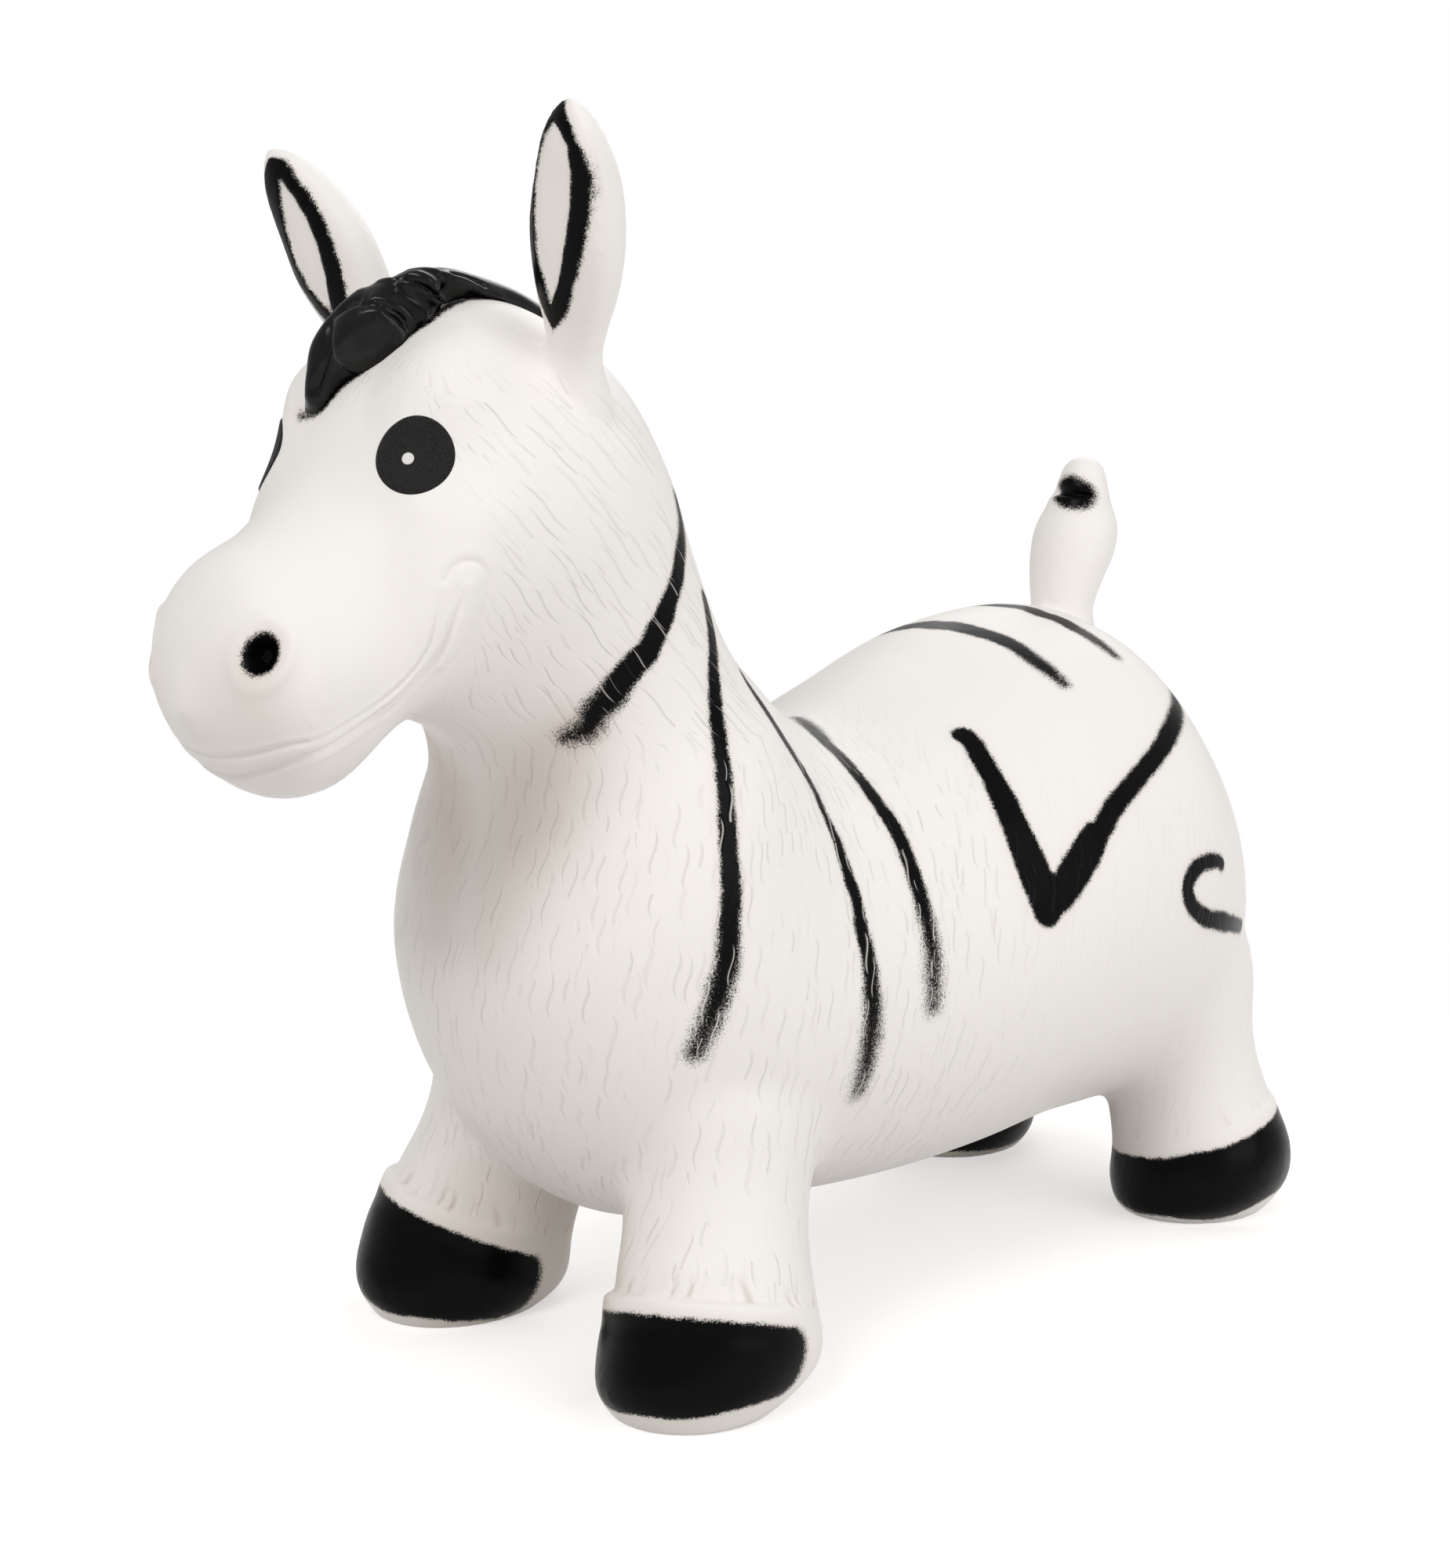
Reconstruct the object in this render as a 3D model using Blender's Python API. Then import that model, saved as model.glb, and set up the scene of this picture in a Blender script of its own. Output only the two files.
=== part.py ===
"""Inflatable bouncing zebra for a child to ride: one air filled vinyl skin, its eye discs and its air valve.

Metres, +Z up. The origin is on the floor under the middle of the animal. The muzzle points to -Y and +X is
the animal's left side. The skin is hollow and is divided where it flexes: at the neck, the ear roots, the
tail root and above each hoof.
"""

import math

import bmesh
import bpy
import numpy as np
from mathutils import Matrix, Vector

# Driving sizes of the whole animal, in metres
BODY_LENGTH = 0.592
CROWN_HEIGHT = 0.4295
BODY_WIDTH = 0.240
SKIN_WALL = 0.0022
SEAM_GAP = 0.0003

# Feet. The track is a share of the body width. The feet's places are shares of the body length from its
# middle.
LEG_HEIGHT = 0.1565
HOOF_WIDTH = 0.088
HOOF_LENGTH = 0.096
SOLE_THICKNESS = 0.0040
FOOT_TRACK_SHARE = 0.6795
FRONT_FOOT_SHARE = 0.1968
HIND_FOOT_SHARE = 0.4028

# Ears
EAR_LENGTH = 0.106
EAR_WIDTH = 0.040
EAR_THICKNESS = 0.031
EAR_SPREAD_SHARE = 0.4667
EAR_ROOT_LENGTH = 0.016

# Tail
TAIL_LENGTH = 0.0985
TAIL_THICKNESS = 0.044
TAIL_ROOT_LENGTH = 0.020

# Neck
NECK_FLEX_LENGTH = 0.030

# Face
EYE_DIAMETER = 0.0287
EYE_THICKNESS = 0.0008
EYE_SPREAD_SHARE = 0.4083
NOSTRIL_RADIUS = 0.0095
NOSTRIL_DEPTH = 0.0060

# Forelock
FORELOCK_WIDTH = 0.056
FORELOCK_THICKNESS = 0.014

# Air valve under the belly: a thick boss inside the skin, and a push-in plug
VALVE_BOSS_DIAMETER = 0.026
VALVE_BOSS_HEIGHT = 0.012
VALVE_BORE = 0.0080
PLUG_FIT = 0.0003
PLUG_HEAD_DIAMETER = 0.0150
PLUG_HEAD_THICKNESS = 0.0022
PLUG_STEM_LENGTH = 0.0150
PLUG_TIP_LENGTH = 0.0020

# Numbers of facets and of rings between two stations
TRUNK_SIDES = 32
TRUNK_STEPS = 2
LINING_SIDES = 24
LIMB_SIDES = 22
LIMB_LINING_SIDES = 16
LIMB_STEPS = 2
ROUND_SIDES = 32
BALL_RINGS = 9

# The trunk from rump to muzzle. Each station has its top point and its bottom point, as shares of the body
# length from the muzzle and of the crown height, then its half width as a share of half the body width, and
# how far the widest place leans to the top.
TRUNK_SHARES = (
    (0.999, 0.363, 1.000, 0.350, 0.031, 0.000),
    (0.982, 0.475, 0.991, 0.236, 0.416, 0.000),
    (0.938, 0.573, 0.959, 0.157, 0.670, 0.000),
    (0.885, 0.652, 0.905, 0.118, 0.850, -0.050),
    (0.817, 0.701, 0.824, 0.112, 0.990, -0.050),
    (0.721, 0.691, 0.731, 0.114, 1.000, -0.050),
    (0.632, 0.648, 0.638, 0.105, 0.970, -0.050),
    (0.555, 0.612, 0.537, 0.105, 0.920, -0.050),
    (0.509, 0.605, 0.423, 0.118, 0.882, -0.050),
    (0.478, 0.621, 0.317, 0.137, 0.857, -0.080),
    (0.455, 0.646, 0.242, 0.230, 0.825, -0.080),
    (0.430, 0.674, 0.207, 0.350, 0.773, -0.040),
    (0.409, 0.700, 0.212, 0.447, 0.685, 0.000),
    (0.390, 0.741, 0.230, 0.533, 0.613, 0.000),
    (0.368, 0.811, 0.218, 0.602, 0.586, 0.000),
    (0.345, 0.889, 0.180, 0.633, 0.595, 0.050),
    (0.304, 0.962, 0.145, 0.637, 0.610, 0.080),
    (0.245, 1.000, 0.119, 0.623, 0.595, 0.080),
    (0.180, 0.994, 0.103, 0.603, 0.562, 0.080),
    (0.135, 0.933, 0.092, 0.585, 0.502, 0.080),
    (0.101, 0.861, 0.082, 0.581, 0.423, 0.000),
    (0.066, 0.815, 0.069, 0.580, 0.396, -0.060),
    (0.029, 0.785, 0.051, 0.587, 0.390, -0.060),
    (0.009, 0.739, 0.027, 0.613, 0.279, 0.000),
    (0.000, 0.685, 0.001, 0.659, 0.019, 0.000),
)

# A leg from under the floor up: height and the two radii as shares of the leg height and of half the hoof's
# sizes, how far the ring's slope has gone from the sole's to the coronet's, and how far it is drawn in to
# the body as a share of the hoof's width.
LEG_SHARES = (
    (-0.048, 0.520, 0.520, 0.000, 0.000),
    (0.003, 0.760, 0.790, 0.100, 0.000),
    (0.065, 0.920, 0.990, 0.300, 0.000),
    (0.141, 0.990, 0.970, 0.650, 0.000),
    (0.218, 0.955, 0.920, 0.950, 0.000),
    (0.243, 0.930, 0.920, 1.000, 0.000),
    (0.274, 0.930, 0.920, 1.000, 0.000),
    (0.310, 0.860, 0.815, 1.000, 0.020),
    (0.428, 0.850, 0.790, 1.000, 0.055),
    (0.550, 0.880, 0.830, 1.000, 0.085),
    (0.693, 0.990, 1.030, 1.000, 0.130),
    (0.857, 1.030, 1.060, 1.000, 0.230),
    (1.000, 0.720, 0.760, 1.000, 0.420),
)

# An ear from its root in the head to its tip: place along it, then half its width, the depth of its face
# and the depth of its back as shares of half the ear's sizes, then its outward bow as a share of the ear's
# length.
EAR_SHARES = (
    (-0.100, 0.720, 0.900, 0.900, 0.000),
    (0.060, 0.500, 0.680, 0.680, -0.003),
    (0.180, 0.600, 0.620, 0.830, -0.013),
    (0.340, 0.900, 0.655, 1.110, -0.021),
    (0.520, 1.045, 0.620, 1.235, -0.022),
    (0.700, 0.900, 0.490, 1.235, -0.024),
    (0.860, 0.660, 0.400, 0.840, -0.021),
    (0.960, 0.335, 0.185, 0.420, -0.018),
    (1.000, 0.050, 0.040, 0.060, -0.012),
)

# The tail from inside the rump to its tip: height and backward shift as shares of the tail's length, then its
# half width and half depth as shares of half the tail's thickness.
TAIL_SHARES = (
    (-0.170, -0.020, 1.100, 1.100),
    (0.040, 0.000, 0.860, 0.880),
    (0.200, -0.025, 0.700, 0.725),
    (0.350, 0.000, 0.800, 0.845),
    (0.500, 0.050, 0.940, 0.980),
    (0.640, 0.085, 0.930, 0.965),
    (0.770, 0.110, 0.700, 0.720),
    (0.860, 0.128, 0.575, 0.580),
    (0.940, 0.135, 0.460, 0.480),
    (0.985, 0.133, 0.270, 0.290),
    (1.000, 0.125, 0.080, 0.080),
)

# The forelock from behind the crown to its tip on the forehead: place along the body and height as shares of
# the body length and the crown height, then half width and half thickness as shares of the forelock's sizes.
FORELOCK_SHARES = (
    (0.285, 0.965, 0.100, 0.200),
    (0.262, 0.985, 0.340, 0.620),
    (0.225, 1.003, 0.440, 0.900),
    (0.190, 1.004, 0.460, 1.000),
    (0.160, 0.988, 0.460, 1.100),
    (0.135, 0.956, 0.360, 0.900),
    (0.118, 0.924, 0.200, 0.550),
    (0.108, 0.905, 0.060, 0.250),
)

# Places on the body, as shares of its length from the muzzle, of the crown height and of its half width
EAR_ROOT_SHARES = (0.235, 0.9345)
EAR_TIP_SHARES = (0.181, 1.1421)
EAR_TIP_SPREAD_SHARE = 1.64
TAIL_PLACE_SHARES = (0.872, 0.6421)
NECK_SEAM_SHARES = (0.200, 0.5836)
NECK_PIVOT_SHARES = (0.311, 0.6441)
NECK_SEAM_ANGLE = 34.216
EYE_PLACE_SHARES = (0.116, 0.8699)
EYE_FACING = Vector((0.60, -0.76, 0.22))
NOSTRIL_PLACE_SHARES = (0.032, 0.7097, 0.36)
NOSTRIL_FACING = Vector((0.62, -0.76, 0.18))
VALVE_PLACE_SHARE = 0.66

# Seams of the flexing zones, as shares of the ear's length and the tail's length from their roots, and how
# far the zone that is cut reaches to each side, as shares of the hoof's length and the ear's width
EAR_SEAM_SHARE = 0.14
TAIL_SEAM_SHARE = 0.29
HOOF_REACH_SHARE = 0.65
LEG_REACH_SHARE = 0.49
EAR_ROOT_REACH_SHARE = 0.48
PLUG_TIP_SHARE = 0.8
SHARP_ANGLE = 40.0
UPWARD = (0.0, 0.0, 1.0)
SIDE_NAMES = {1.0: "left", -1.0: "right"}

# Slopes of the front and hind feet, outward and to the animal's nearer end: of the sole, then of the
# coronet. Then how far the leg leans inward and to the middle of the body for each metre of height.
FRONT_SOLE_SLOPE = (0.13, -0.04)
FRONT_CORONET_SLOPE = (0.20, 0.31)
FRONT_LEAN = (0.14, 0.31)
HIND_SOLE_SLOPE = (0.12, 0.08)
HIND_CORONET_SLOPE = (0.17, 0.19)
HIND_LEAN = (0.06, 0.16)

# Height of the hoof, and of the flexing zone above it up to the seam with the body, as shares of the leg's
# height
HOOF_HEIGHT_SHARE = 0.2332
FRONT_FLEX_SHARE = 0.18
HIND_FLEX_SHARE = 0.1215

# Finishes: colour and roughness
WHITE_VINYL = ((0.87, 0.85, 0.83, 1.0), 0.45)
BLACK_PAINT = ((0.012, 0.012, 0.013, 1.0), 0.25)
EYE_PRINT = ((0.03, 0.03, 0.03, 1.0), 0.6)
PLUG_VINYL = ((0.55, 0.54, 0.52, 1.0), 0.5)


def clear_scene():
    """Removes what the open file shows."""
    for thing in list(bpy.data.objects):
        bpy.data.objects.remove(thing, do_unlink=True)


def paint(name, colour, roughness):
    """A material with one colour."""
    material = bpy.data.materials.new(name)
    material.use_nodes = True
    shader = material.node_tree.nodes["Principled BSDF"]
    shader.inputs["Base Color"].default_value = colour
    shader.inputs["Roughness"].default_value = roughness
    shader.inputs["Metallic"].default_value = 0.0
    material.diffuse_color = colour
    return material


def place_on_body(along_share, height_share):
    """The point in the middle plane at these shares of the body length and the crown height."""
    return np.array((0.0, (along_share - 0.5) * BODY_LENGTH, height_share * CROWN_HEIGHT))


def between_stations(stations, steps):
    """Smooth rows through the stations, with this many steps from each to the next."""
    rows = np.array(stations, float)
    padded = np.vstack((2 * rows[0] - rows[1], rows, 2 * rows[-1] - rows[-2]))
    smooth = []
    for start in range(len(rows) - 1):
        before, here, there, after = padded[start : start + 4]
        for step in range(steps):
            t = step / steps
            smooth.append(
                0.5
                * (
                    2 * here
                    + (there - before) * t
                    + (2 * before - 5 * here + 4 * there - after) * t * t
                    + (3 * here - before - 3 * there + after) * t * t * t
                )
            )
    smooth.append(rows[-1])
    return np.array(smooth)


def new_object(name, bm):
    """An object of this mesh with its faces pointing out."""
    bmesh.ops.recalc_face_normals(bm, faces=bm.faces)
    if bm.calc_volume(signed=True) < 0.0:
        bmesh.ops.reverse_faces(bm, faces=bm.faces)
    mesh = bpy.data.meshes.new(name)
    bm.to_mesh(mesh)
    bm.free()
    made = bpy.data.objects.new(name, mesh)
    bpy.context.scene.collection.objects.link(made)
    return made


def lofted(name, rings):
    """A closed body through rings of points, each end closed by a fan from the ring's middle."""
    bm = bmesh.new()
    rows = [[bm.verts.new(point) for point in ring] for ring in rings]
    for low, high in zip(rows, rows[1:]):
        for side in range(len(low)):
            nearby = (side + 1) % len(low)
            bm.faces.new((low[side], low[nearby], high[nearby], high[side]))
    for row, ring in ((rows[0], rings[0]), (rows[-1], rings[-1])):
        middle = bm.verts.new(np.mean(ring, axis=0))
        for side in range(len(row)):
            bm.faces.new((row[side], row[(side + 1) % len(row)], middle))
    return new_object(name, bm)


def combined(base, other, operation):
    """The base after one Boolean with the other, which is used up."""
    cut = base.modifiers.new("cut", "BOOLEAN")
    cut.operation = operation
    cut.solver = "EXACT"
    cut.object = other
    bpy.context.view_layer.update()
    finished = bpy.data.meshes.new_from_object(base.evaluated_get(bpy.context.evaluated_depsgraph_get()))
    base.modifiers.clear()
    base.data = finished
    bpy.data.objects.remove(other, do_unlink=True)
    return base


def copied(thing, name):
    """A second object with its own copy of the mesh."""
    twin = thing.copy()
    twin.data = thing.data.copy()
    twin.name = name
    bpy.context.scene.collection.objects.link(twin)
    return twin


def block(name, point, normal, low, high, reach):
    """A square block from low to high along the normal through the point, reaching this far to each side."""
    bm = bmesh.new()
    bmesh.ops.create_cube(bm, size=1.0)
    turn = Vector(normal).to_track_quat("Z", "Y").to_matrix().to_4x4()
    size = Matrix.Diagonal((2 * reach, 2 * reach, high - low, 1.0))
    lift = Matrix.Translation((0.0, 0.0, (high + low) / 2))
    bm.transform(Matrix.Translation(Vector(point)) @ turn @ lift @ size)
    return new_object(name, bm)


def turned(name, point, axis, profile):
    """A round body about the axis through the point. The profile has radius and place along the axis."""
    angles = np.linspace(0.0, 2 * math.pi, ROUND_SIDES, endpoint=False)
    turn = np.array(Vector(axis).to_track_quat("Z", "Y").to_matrix())
    rings = []
    for radius, along in profile:
        level = np.full_like(angles, along)
        flat = np.stack((radius * np.cos(angles), radius * np.sin(angles), level), axis=-1)
        rings.append(flat @ turn.T + np.array(point))
    return lofted(name, rings)


def ball(name, point, axis, radius, half_depth):
    """A flattened ball about the axis through the point."""
    angles = np.linspace(-0.48 * math.pi, 0.48 * math.pi, BALL_RINGS)
    profile = [(radius * math.cos(angle), half_depth * math.sin(angle)) for angle in angles]
    return turned(name, point, axis, profile)


def trunk_rings(inset, sides):
    """Rings of the body, neck and head, drawn in by the inset all round."""
    angles = np.linspace(0.0, 2 * math.pi, sides, endpoint=False)
    up, across = np.cos(angles), np.sin(angles)
    rings = []
    for row in between_stations(TRUNK_SHARES, TRUNK_STEPS):
        top, bottom = place_on_body(*row[:2]), place_on_body(*row[2:4])
        width_share, lean = row[4:]
        middle, half = (top + bottom) / 2, (top - bottom) / 2
        half_height = np.linalg.norm(half)
        half_width = width_share * BODY_WIDTH / 2
        shrink_up = max(half_height - inset, 0.0) / half_height
        shrink_across = max(half_width - inset, 0.0) / half_width
        if min(shrink_up, shrink_across) <= 0.0:
            continue
        ring = middle + np.outer(up, half) * shrink_up
        ring[:, 0] += half_width * shrink_across * across * (1 + lean * up)
        rings.append(ring)
    return rings


def pulled_in(rings, inset):
    """The rings with their two ends moved towards each other by the inset."""
    first, last = rings[0].mean(axis=0), rings[-1].mean(axis=0)
    second, ahead = rings[1].mean(axis=0), rings[-2].mean(axis=0)
    rings[0] = rings[0] + inset * (second - first) / np.linalg.norm(second - first)
    rings[-1] = rings[-1] + inset * (ahead - last) / np.linalg.norm(ahead - last)
    return rings


def by_end(end, front, hind):
    """The value for this end of the animal."""
    return front if end == "front" else hind


def leg_centre(side, end, height):
    """The middle of the leg at this height."""
    lean_in, lean_mid = by_end(end, FRONT_LEAN, HIND_LEAN)
    from_middle = by_end(end, FRONT_FOOT_SHARE, HIND_FOOT_SHARE) * BODY_LENGTH - lean_mid * height
    from_centre = FOOT_TRACK_SHARE * BODY_WIDTH / 2 - lean_in * height
    return np.array((side * from_centre, by_end(end, -1.0, 1.0) * from_middle, height))


def hoof_top(side, end):
    """The middle of the leg at the top of its hoof."""
    return leg_centre(side, end, HOOF_HEIGHT_SHARE * LEG_HEIGHT)


def leg_rings(side, end, inset, sides):
    """Rings of one leg from its sole into the body, drawn in by the inset all round."""
    sole_slope = np.array(by_end(end, FRONT_SOLE_SLOPE, HIND_SOLE_SLOPE))
    coronet_slope = np.array(by_end(end, FRONT_CORONET_SLOPE, HIND_CORONET_SLOPE))
    outward_end = by_end(end, -1.0, 1.0)
    angles = np.linspace(0.0, 2 * math.pi, sides, endpoint=False)
    rings = []
    for height_share, width_share, length_share, turn_share, in_share in LEG_SHARES:
        height = height_share * LEG_HEIGHT
        out = (width_share * HOOF_WIDTH / 2 - inset) * np.cos(angles)
        toward_end = (length_share * HOOF_LENGTH / 2 - inset) * np.sin(angles)
        slope_out, slope_end = sole_slope * (1 - turn_share) + coronet_slope * turn_share
        centre = leg_centre(side, end, height)
        centre[0] -= side * in_share * HOOF_WIDTH
        ring = np.stack(
            (
                centre[0] + side * out,
                centre[1] + outward_end * toward_end,
                height + slope_out * out + slope_end * toward_end,
            ),
            axis=-1,
        )
        rings.append(ring)
    return rings


def leg_normal(side, end):
    """The direction square to the coronet of this leg, pointing up."""
    slope_out, slope_end = by_end(end, FRONT_CORONET_SLOPE, HIND_CORONET_SLOPE)
    normal = np.array((-side * slope_out, by_end(end, 1.0, -1.0) * slope_end, 1.0))
    return normal / np.linalg.norm(normal)


def ear_line(side):
    """The ear's root, its direction, and its length from root to tip."""
    root = place_on_body(*EAR_ROOT_SHARES)
    root[0] = side * EAR_SPREAD_SHARE * BODY_WIDTH / 2
    tip = place_on_body(*EAR_TIP_SHARES)
    tip[0] = side * EAR_SPREAD_SHARE * BODY_WIDTH / 2 * EAR_TIP_SPREAD_SHARE
    direction = (tip - root) / np.linalg.norm(tip - root)
    return root, direction


def ear_rings(side, inset, sides):
    """Rings of one ear: a flat face to the front and a round back."""
    root, direction = ear_line(side)
    across = np.cross(direction, np.array((0.0, -1.0, 0.0)))
    across /= np.linalg.norm(across)
    face = np.cross(across, direction)
    outward = across * np.sign(across[0]) * side
    angles = np.linspace(0.0, 2 * math.pi, sides, endpoint=False)
    rings = []
    for along, width_share, face_share, back_share, bow in between_stations(EAR_SHARES, LIMB_STEPS):
        half_width = width_share * EAR_WIDTH / 2 - inset
        face_depth = face_share * EAR_THICKNESS / 2 - inset
        back_depth = back_share * EAR_THICKNESS / 2 - inset
        if min(half_width, face_depth, back_depth) <= 0.0:
            continue
        centre = root + direction * along * EAR_LENGTH + outward * bow * EAR_LENGTH
        depth = np.where(np.sin(angles) > 0, face_depth, back_depth) * np.sin(angles)
        rings.append(centre + np.outer(half_width * np.cos(angles), across) + np.outer(depth, face))
    return rings


def tail_centre(height_share, back_share):
    """A point on the tail's middle line."""
    centre = place_on_body(*TAIL_PLACE_SHARES)
    centre[1] += back_share * TAIL_LENGTH
    centre[2] += height_share * TAIL_LENGTH
    return centre


def tail_rings(inset, sides):
    """Level rings of the tail."""
    angles = np.linspace(0.0, 2 * math.pi, sides, endpoint=False)
    rings = []
    for height_share, back_share, width_share, depth_share in between_stations(TAIL_SHARES, LIMB_STEPS):
        half_width = width_share * TAIL_THICKNESS / 2 - inset
        half_depth = depth_share * TAIL_THICKNESS / 2 - inset
        if min(half_width, half_depth) <= 0.0:
            continue
        ring = np.zeros((sides, 3))
        ring[:, 0] = half_width * np.cos(angles)
        ring[:, 1] = half_depth * np.sin(angles)
        rings.append(ring + tail_centre(height_share, back_share))
    return rings


def skin_body(name, inset):
    """The whole animal as one solid, drawn in by the inset: the skin's outside, or its inside."""
    lining = inset > 0.0
    trunk_sides = LINING_SIDES if lining else TRUNK_SIDES
    limb_sides = LIMB_LINING_SIDES if lining else LIMB_SIDES
    whole = lofted(name, pulled_in(trunk_rings(inset, trunk_sides), inset))
    for side in (1.0, -1.0):
        for end in ("front", "hind"):
            leg = lofted("leg", leg_rings(side, end, inset, limb_sides))
            floor = SOLE_THICKNESS if lining else 0.0
            ground = block("ground", (0.0, 0.0, floor), UPWARD, -LEG_HEIGHT, 0.0, BODY_LENGTH)
            leg = combined(leg, ground, "DIFFERENCE")
            whole = combined(whole, leg, "UNION")
        ear = lofted("ear", pulled_in(ear_rings(side, inset, limb_sides), inset))
        whole = combined(whole, ear, "UNION")
    tail = lofted("tail", pulled_in(tail_rings(inset, limb_sides), inset))
    return combined(whole, tail, "UNION")


def forelock_rings():
    """Rings of the forelock, square to its line over the crown."""
    rows = between_stations(FORELOCK_SHARES, LIMB_STEPS)
    line = np.array([place_on_body(row[0], row[1]) for row in rows])
    ahead = np.gradient(line, axis=0)
    ahead /= np.linalg.norm(ahead, axis=1)[:, None]
    across = np.array((1.0, 0.0, 0.0))
    angles = np.linspace(0.0, 2 * math.pi, LIMB_SIDES, endpoint=False)
    rings = []
    for centre, direction, row in zip(line, ahead, rows):
        up = np.cross(direction, across)
        wide = row[2] * FORELOCK_WIDTH * np.cos(angles)
        thick = row[3] * FORELOCK_THICKNESS * np.sin(angles)
        rings.append(centre + np.outer(wide, across) + np.outer(thick, up))
    return rings


def grown(thing, name, distance):
    """A copy of a smooth body with its surface moved out along its own normals."""
    twin = copied(thing, name)
    normals = [vertex.normal.copy() for vertex in twin.data.vertices]
    for vertex, normal in zip(twin.data.vertices, normals):
        vertex.co += normal * distance
    return twin


def facing_point(surface, aim, facing):
    """Where the line through the aim, looking against the facing, first meets the surface."""
    start = Vector(aim) + facing * BODY_WIDTH
    found, place, _, _ = surface.ray_cast(start, -facing)
    return place if found else Vector(aim)


def mirrored(vector, side):
    """The vector of the left side, or its mirror image for the right side."""
    return Vector((side * vector.x, vector.y, vector.z)).normalized()


def nostril(surface, side, extra):
    """A flattened ball where the nostril opens on the muzzle, larger all round by the extra."""
    facing = mirrored(NOSTRIL_FACING, side)
    aim = place_on_body(*NOSTRIL_PLACE_SHARES[:2])
    aim[0] = side * NOSTRIL_PLACE_SHARES[2] * BODY_WIDTH / 2
    place = facing_point(surface, aim, facing)
    return ball("nostril", place, facing, NOSTRIL_RADIUS + extra, NOSTRIL_DEPTH + extra)


def belly_point(surface):
    """Where the air valve opens, under the belly."""
    aim = place_on_body(VALVE_PLACE_SHARE, 0.0)
    return facing_point(surface, aim, Vector((0.0, 0.0, -1.0)))


def with_valve(skin, place):
    """The skin with the thick boss round the air hole, the hole, and the recess for the plug's head."""
    boss_radius, hole_radius = VALVE_BOSS_DIAMETER / 2, VALVE_BORE / 2
    recess_radius = PLUG_HEAD_DIAMETER / 2 + PLUG_FIT
    recess_depth = PLUG_HEAD_THICKNESS + PLUG_FIT
    boss = turned("boss", place, UPWARD, ((boss_radius, SKIN_WALL / 2), (boss_radius, VALVE_BOSS_HEIGHT)))
    profile = (
        (recess_radius, -VALVE_BOSS_HEIGHT),
        (recess_radius, recess_depth),
        (hole_radius, recess_depth),
        (hole_radius, 2 * VALVE_BOSS_HEIGHT),
    )
    skin = combined(skin, boss, "UNION")
    return combined(skin, turned("hole", place, UPWARD, profile), "DIFFERENCE")


def hollow_skin(outside):
    """The closed skin as one hollow wall, with its nostrils and its air hole."""
    lining = skin_body("lining", SKIN_WALL)
    skin = copied(outside, "skin")
    for side in (1.0, -1.0):
        lining = combined(lining, nostril(outside, side, SKIN_WALL), "DIFFERENCE")
        skin = combined(skin, nostril(outside, side, 0.0), "DIFFERENCE")
    skin = combined(skin, lining, "DIFFERENCE")
    return with_valve(skin, belly_point(outside))


def cut_out(skin, name, zone):
    """The part of the skin inside the zone, as its own piece. The zone's block is used up."""
    return combined(copied(skin, name), zone, "INTERSECT")


def neck_zone(name, low, high):
    """A block across the neck, from low to high above the seam under the jaw."""
    seam = place_on_body(*NECK_SEAM_SHARES)
    angle = math.radians(NECK_SEAM_ANGLE)
    return block(name, seam, (0.0, -math.sin(angle), math.cos(angle)), low, high, BODY_LENGTH)


def ear_zone(name, side, low, high, reach):
    """A block across one ear, from low to high above the ear root's lower seam."""
    root, direction = ear_line(side)
    return block(name, root + direction * EAR_SEAM_SHARE * EAR_LENGTH, direction, low, high, reach)


def tail_zone(name, low, high):
    """A block across the tail, from low to high above the tail root's lower seam."""
    place = tail_centre(TAIL_SEAM_SHARE, 0.0)
    return block(name, place, UPWARD, low, high, TAIL_THICKNESS)


def foot_zone(name, side, end, low, high, reach_share):
    """A block across one leg, from low to high above the top of its hoof."""
    return block(name, hoof_top(side, end), leg_normal(side, end), low, high, reach_share * HOOF_LENGTH)


def with_origin(piece, point):
    """The piece with its origin at the point and its surface where it was."""
    piece.data.transform(Matrix.Translation(-Vector(point)))
    piece.location = Vector(point)
    return piece


def attached(piece, parent):
    """The piece as a child of the parent, in the place where it was."""
    bpy.context.view_layer.update()
    piece.parent = parent
    piece.matrix_parent_inverse = parent.matrix_world.inverted()
    return piece


def make_foot(skin, body, side, end):
    """One hoof and the flexing leg above it, and the body with both taken off."""
    name = f"{end}_{SIDE_NAMES[side]}"
    flex = by_end(end, FRONT_FLEX_SHARE, HIND_FLEX_SHARE) * LEG_HEIGHT * leg_normal(side, end)[2]
    hoof = cut_out(skin, f"{name}_hoof", foot_zone("zone", side, end, -LEG_HEIGHT, 0.0, HOOF_REACH_SHARE))
    leg = cut_out(skin, f"{name}_leg", foot_zone("zone", side, end, SEAM_GAP, flex, LEG_REACH_SHARE))
    below = foot_zone("zone", side, end, -LEG_HEIGHT, 0.0, HOOF_REACH_SHARE)
    beside = foot_zone("zone", side, end, -SEAM_GAP, flex + SEAM_GAP, LEG_REACH_SHARE)
    body = combined(combined(body, below, "DIFFERENCE"), beside, "DIFFERENCE")
    return body, leg, with_origin(hoof, hoof_top(side, end))


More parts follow.
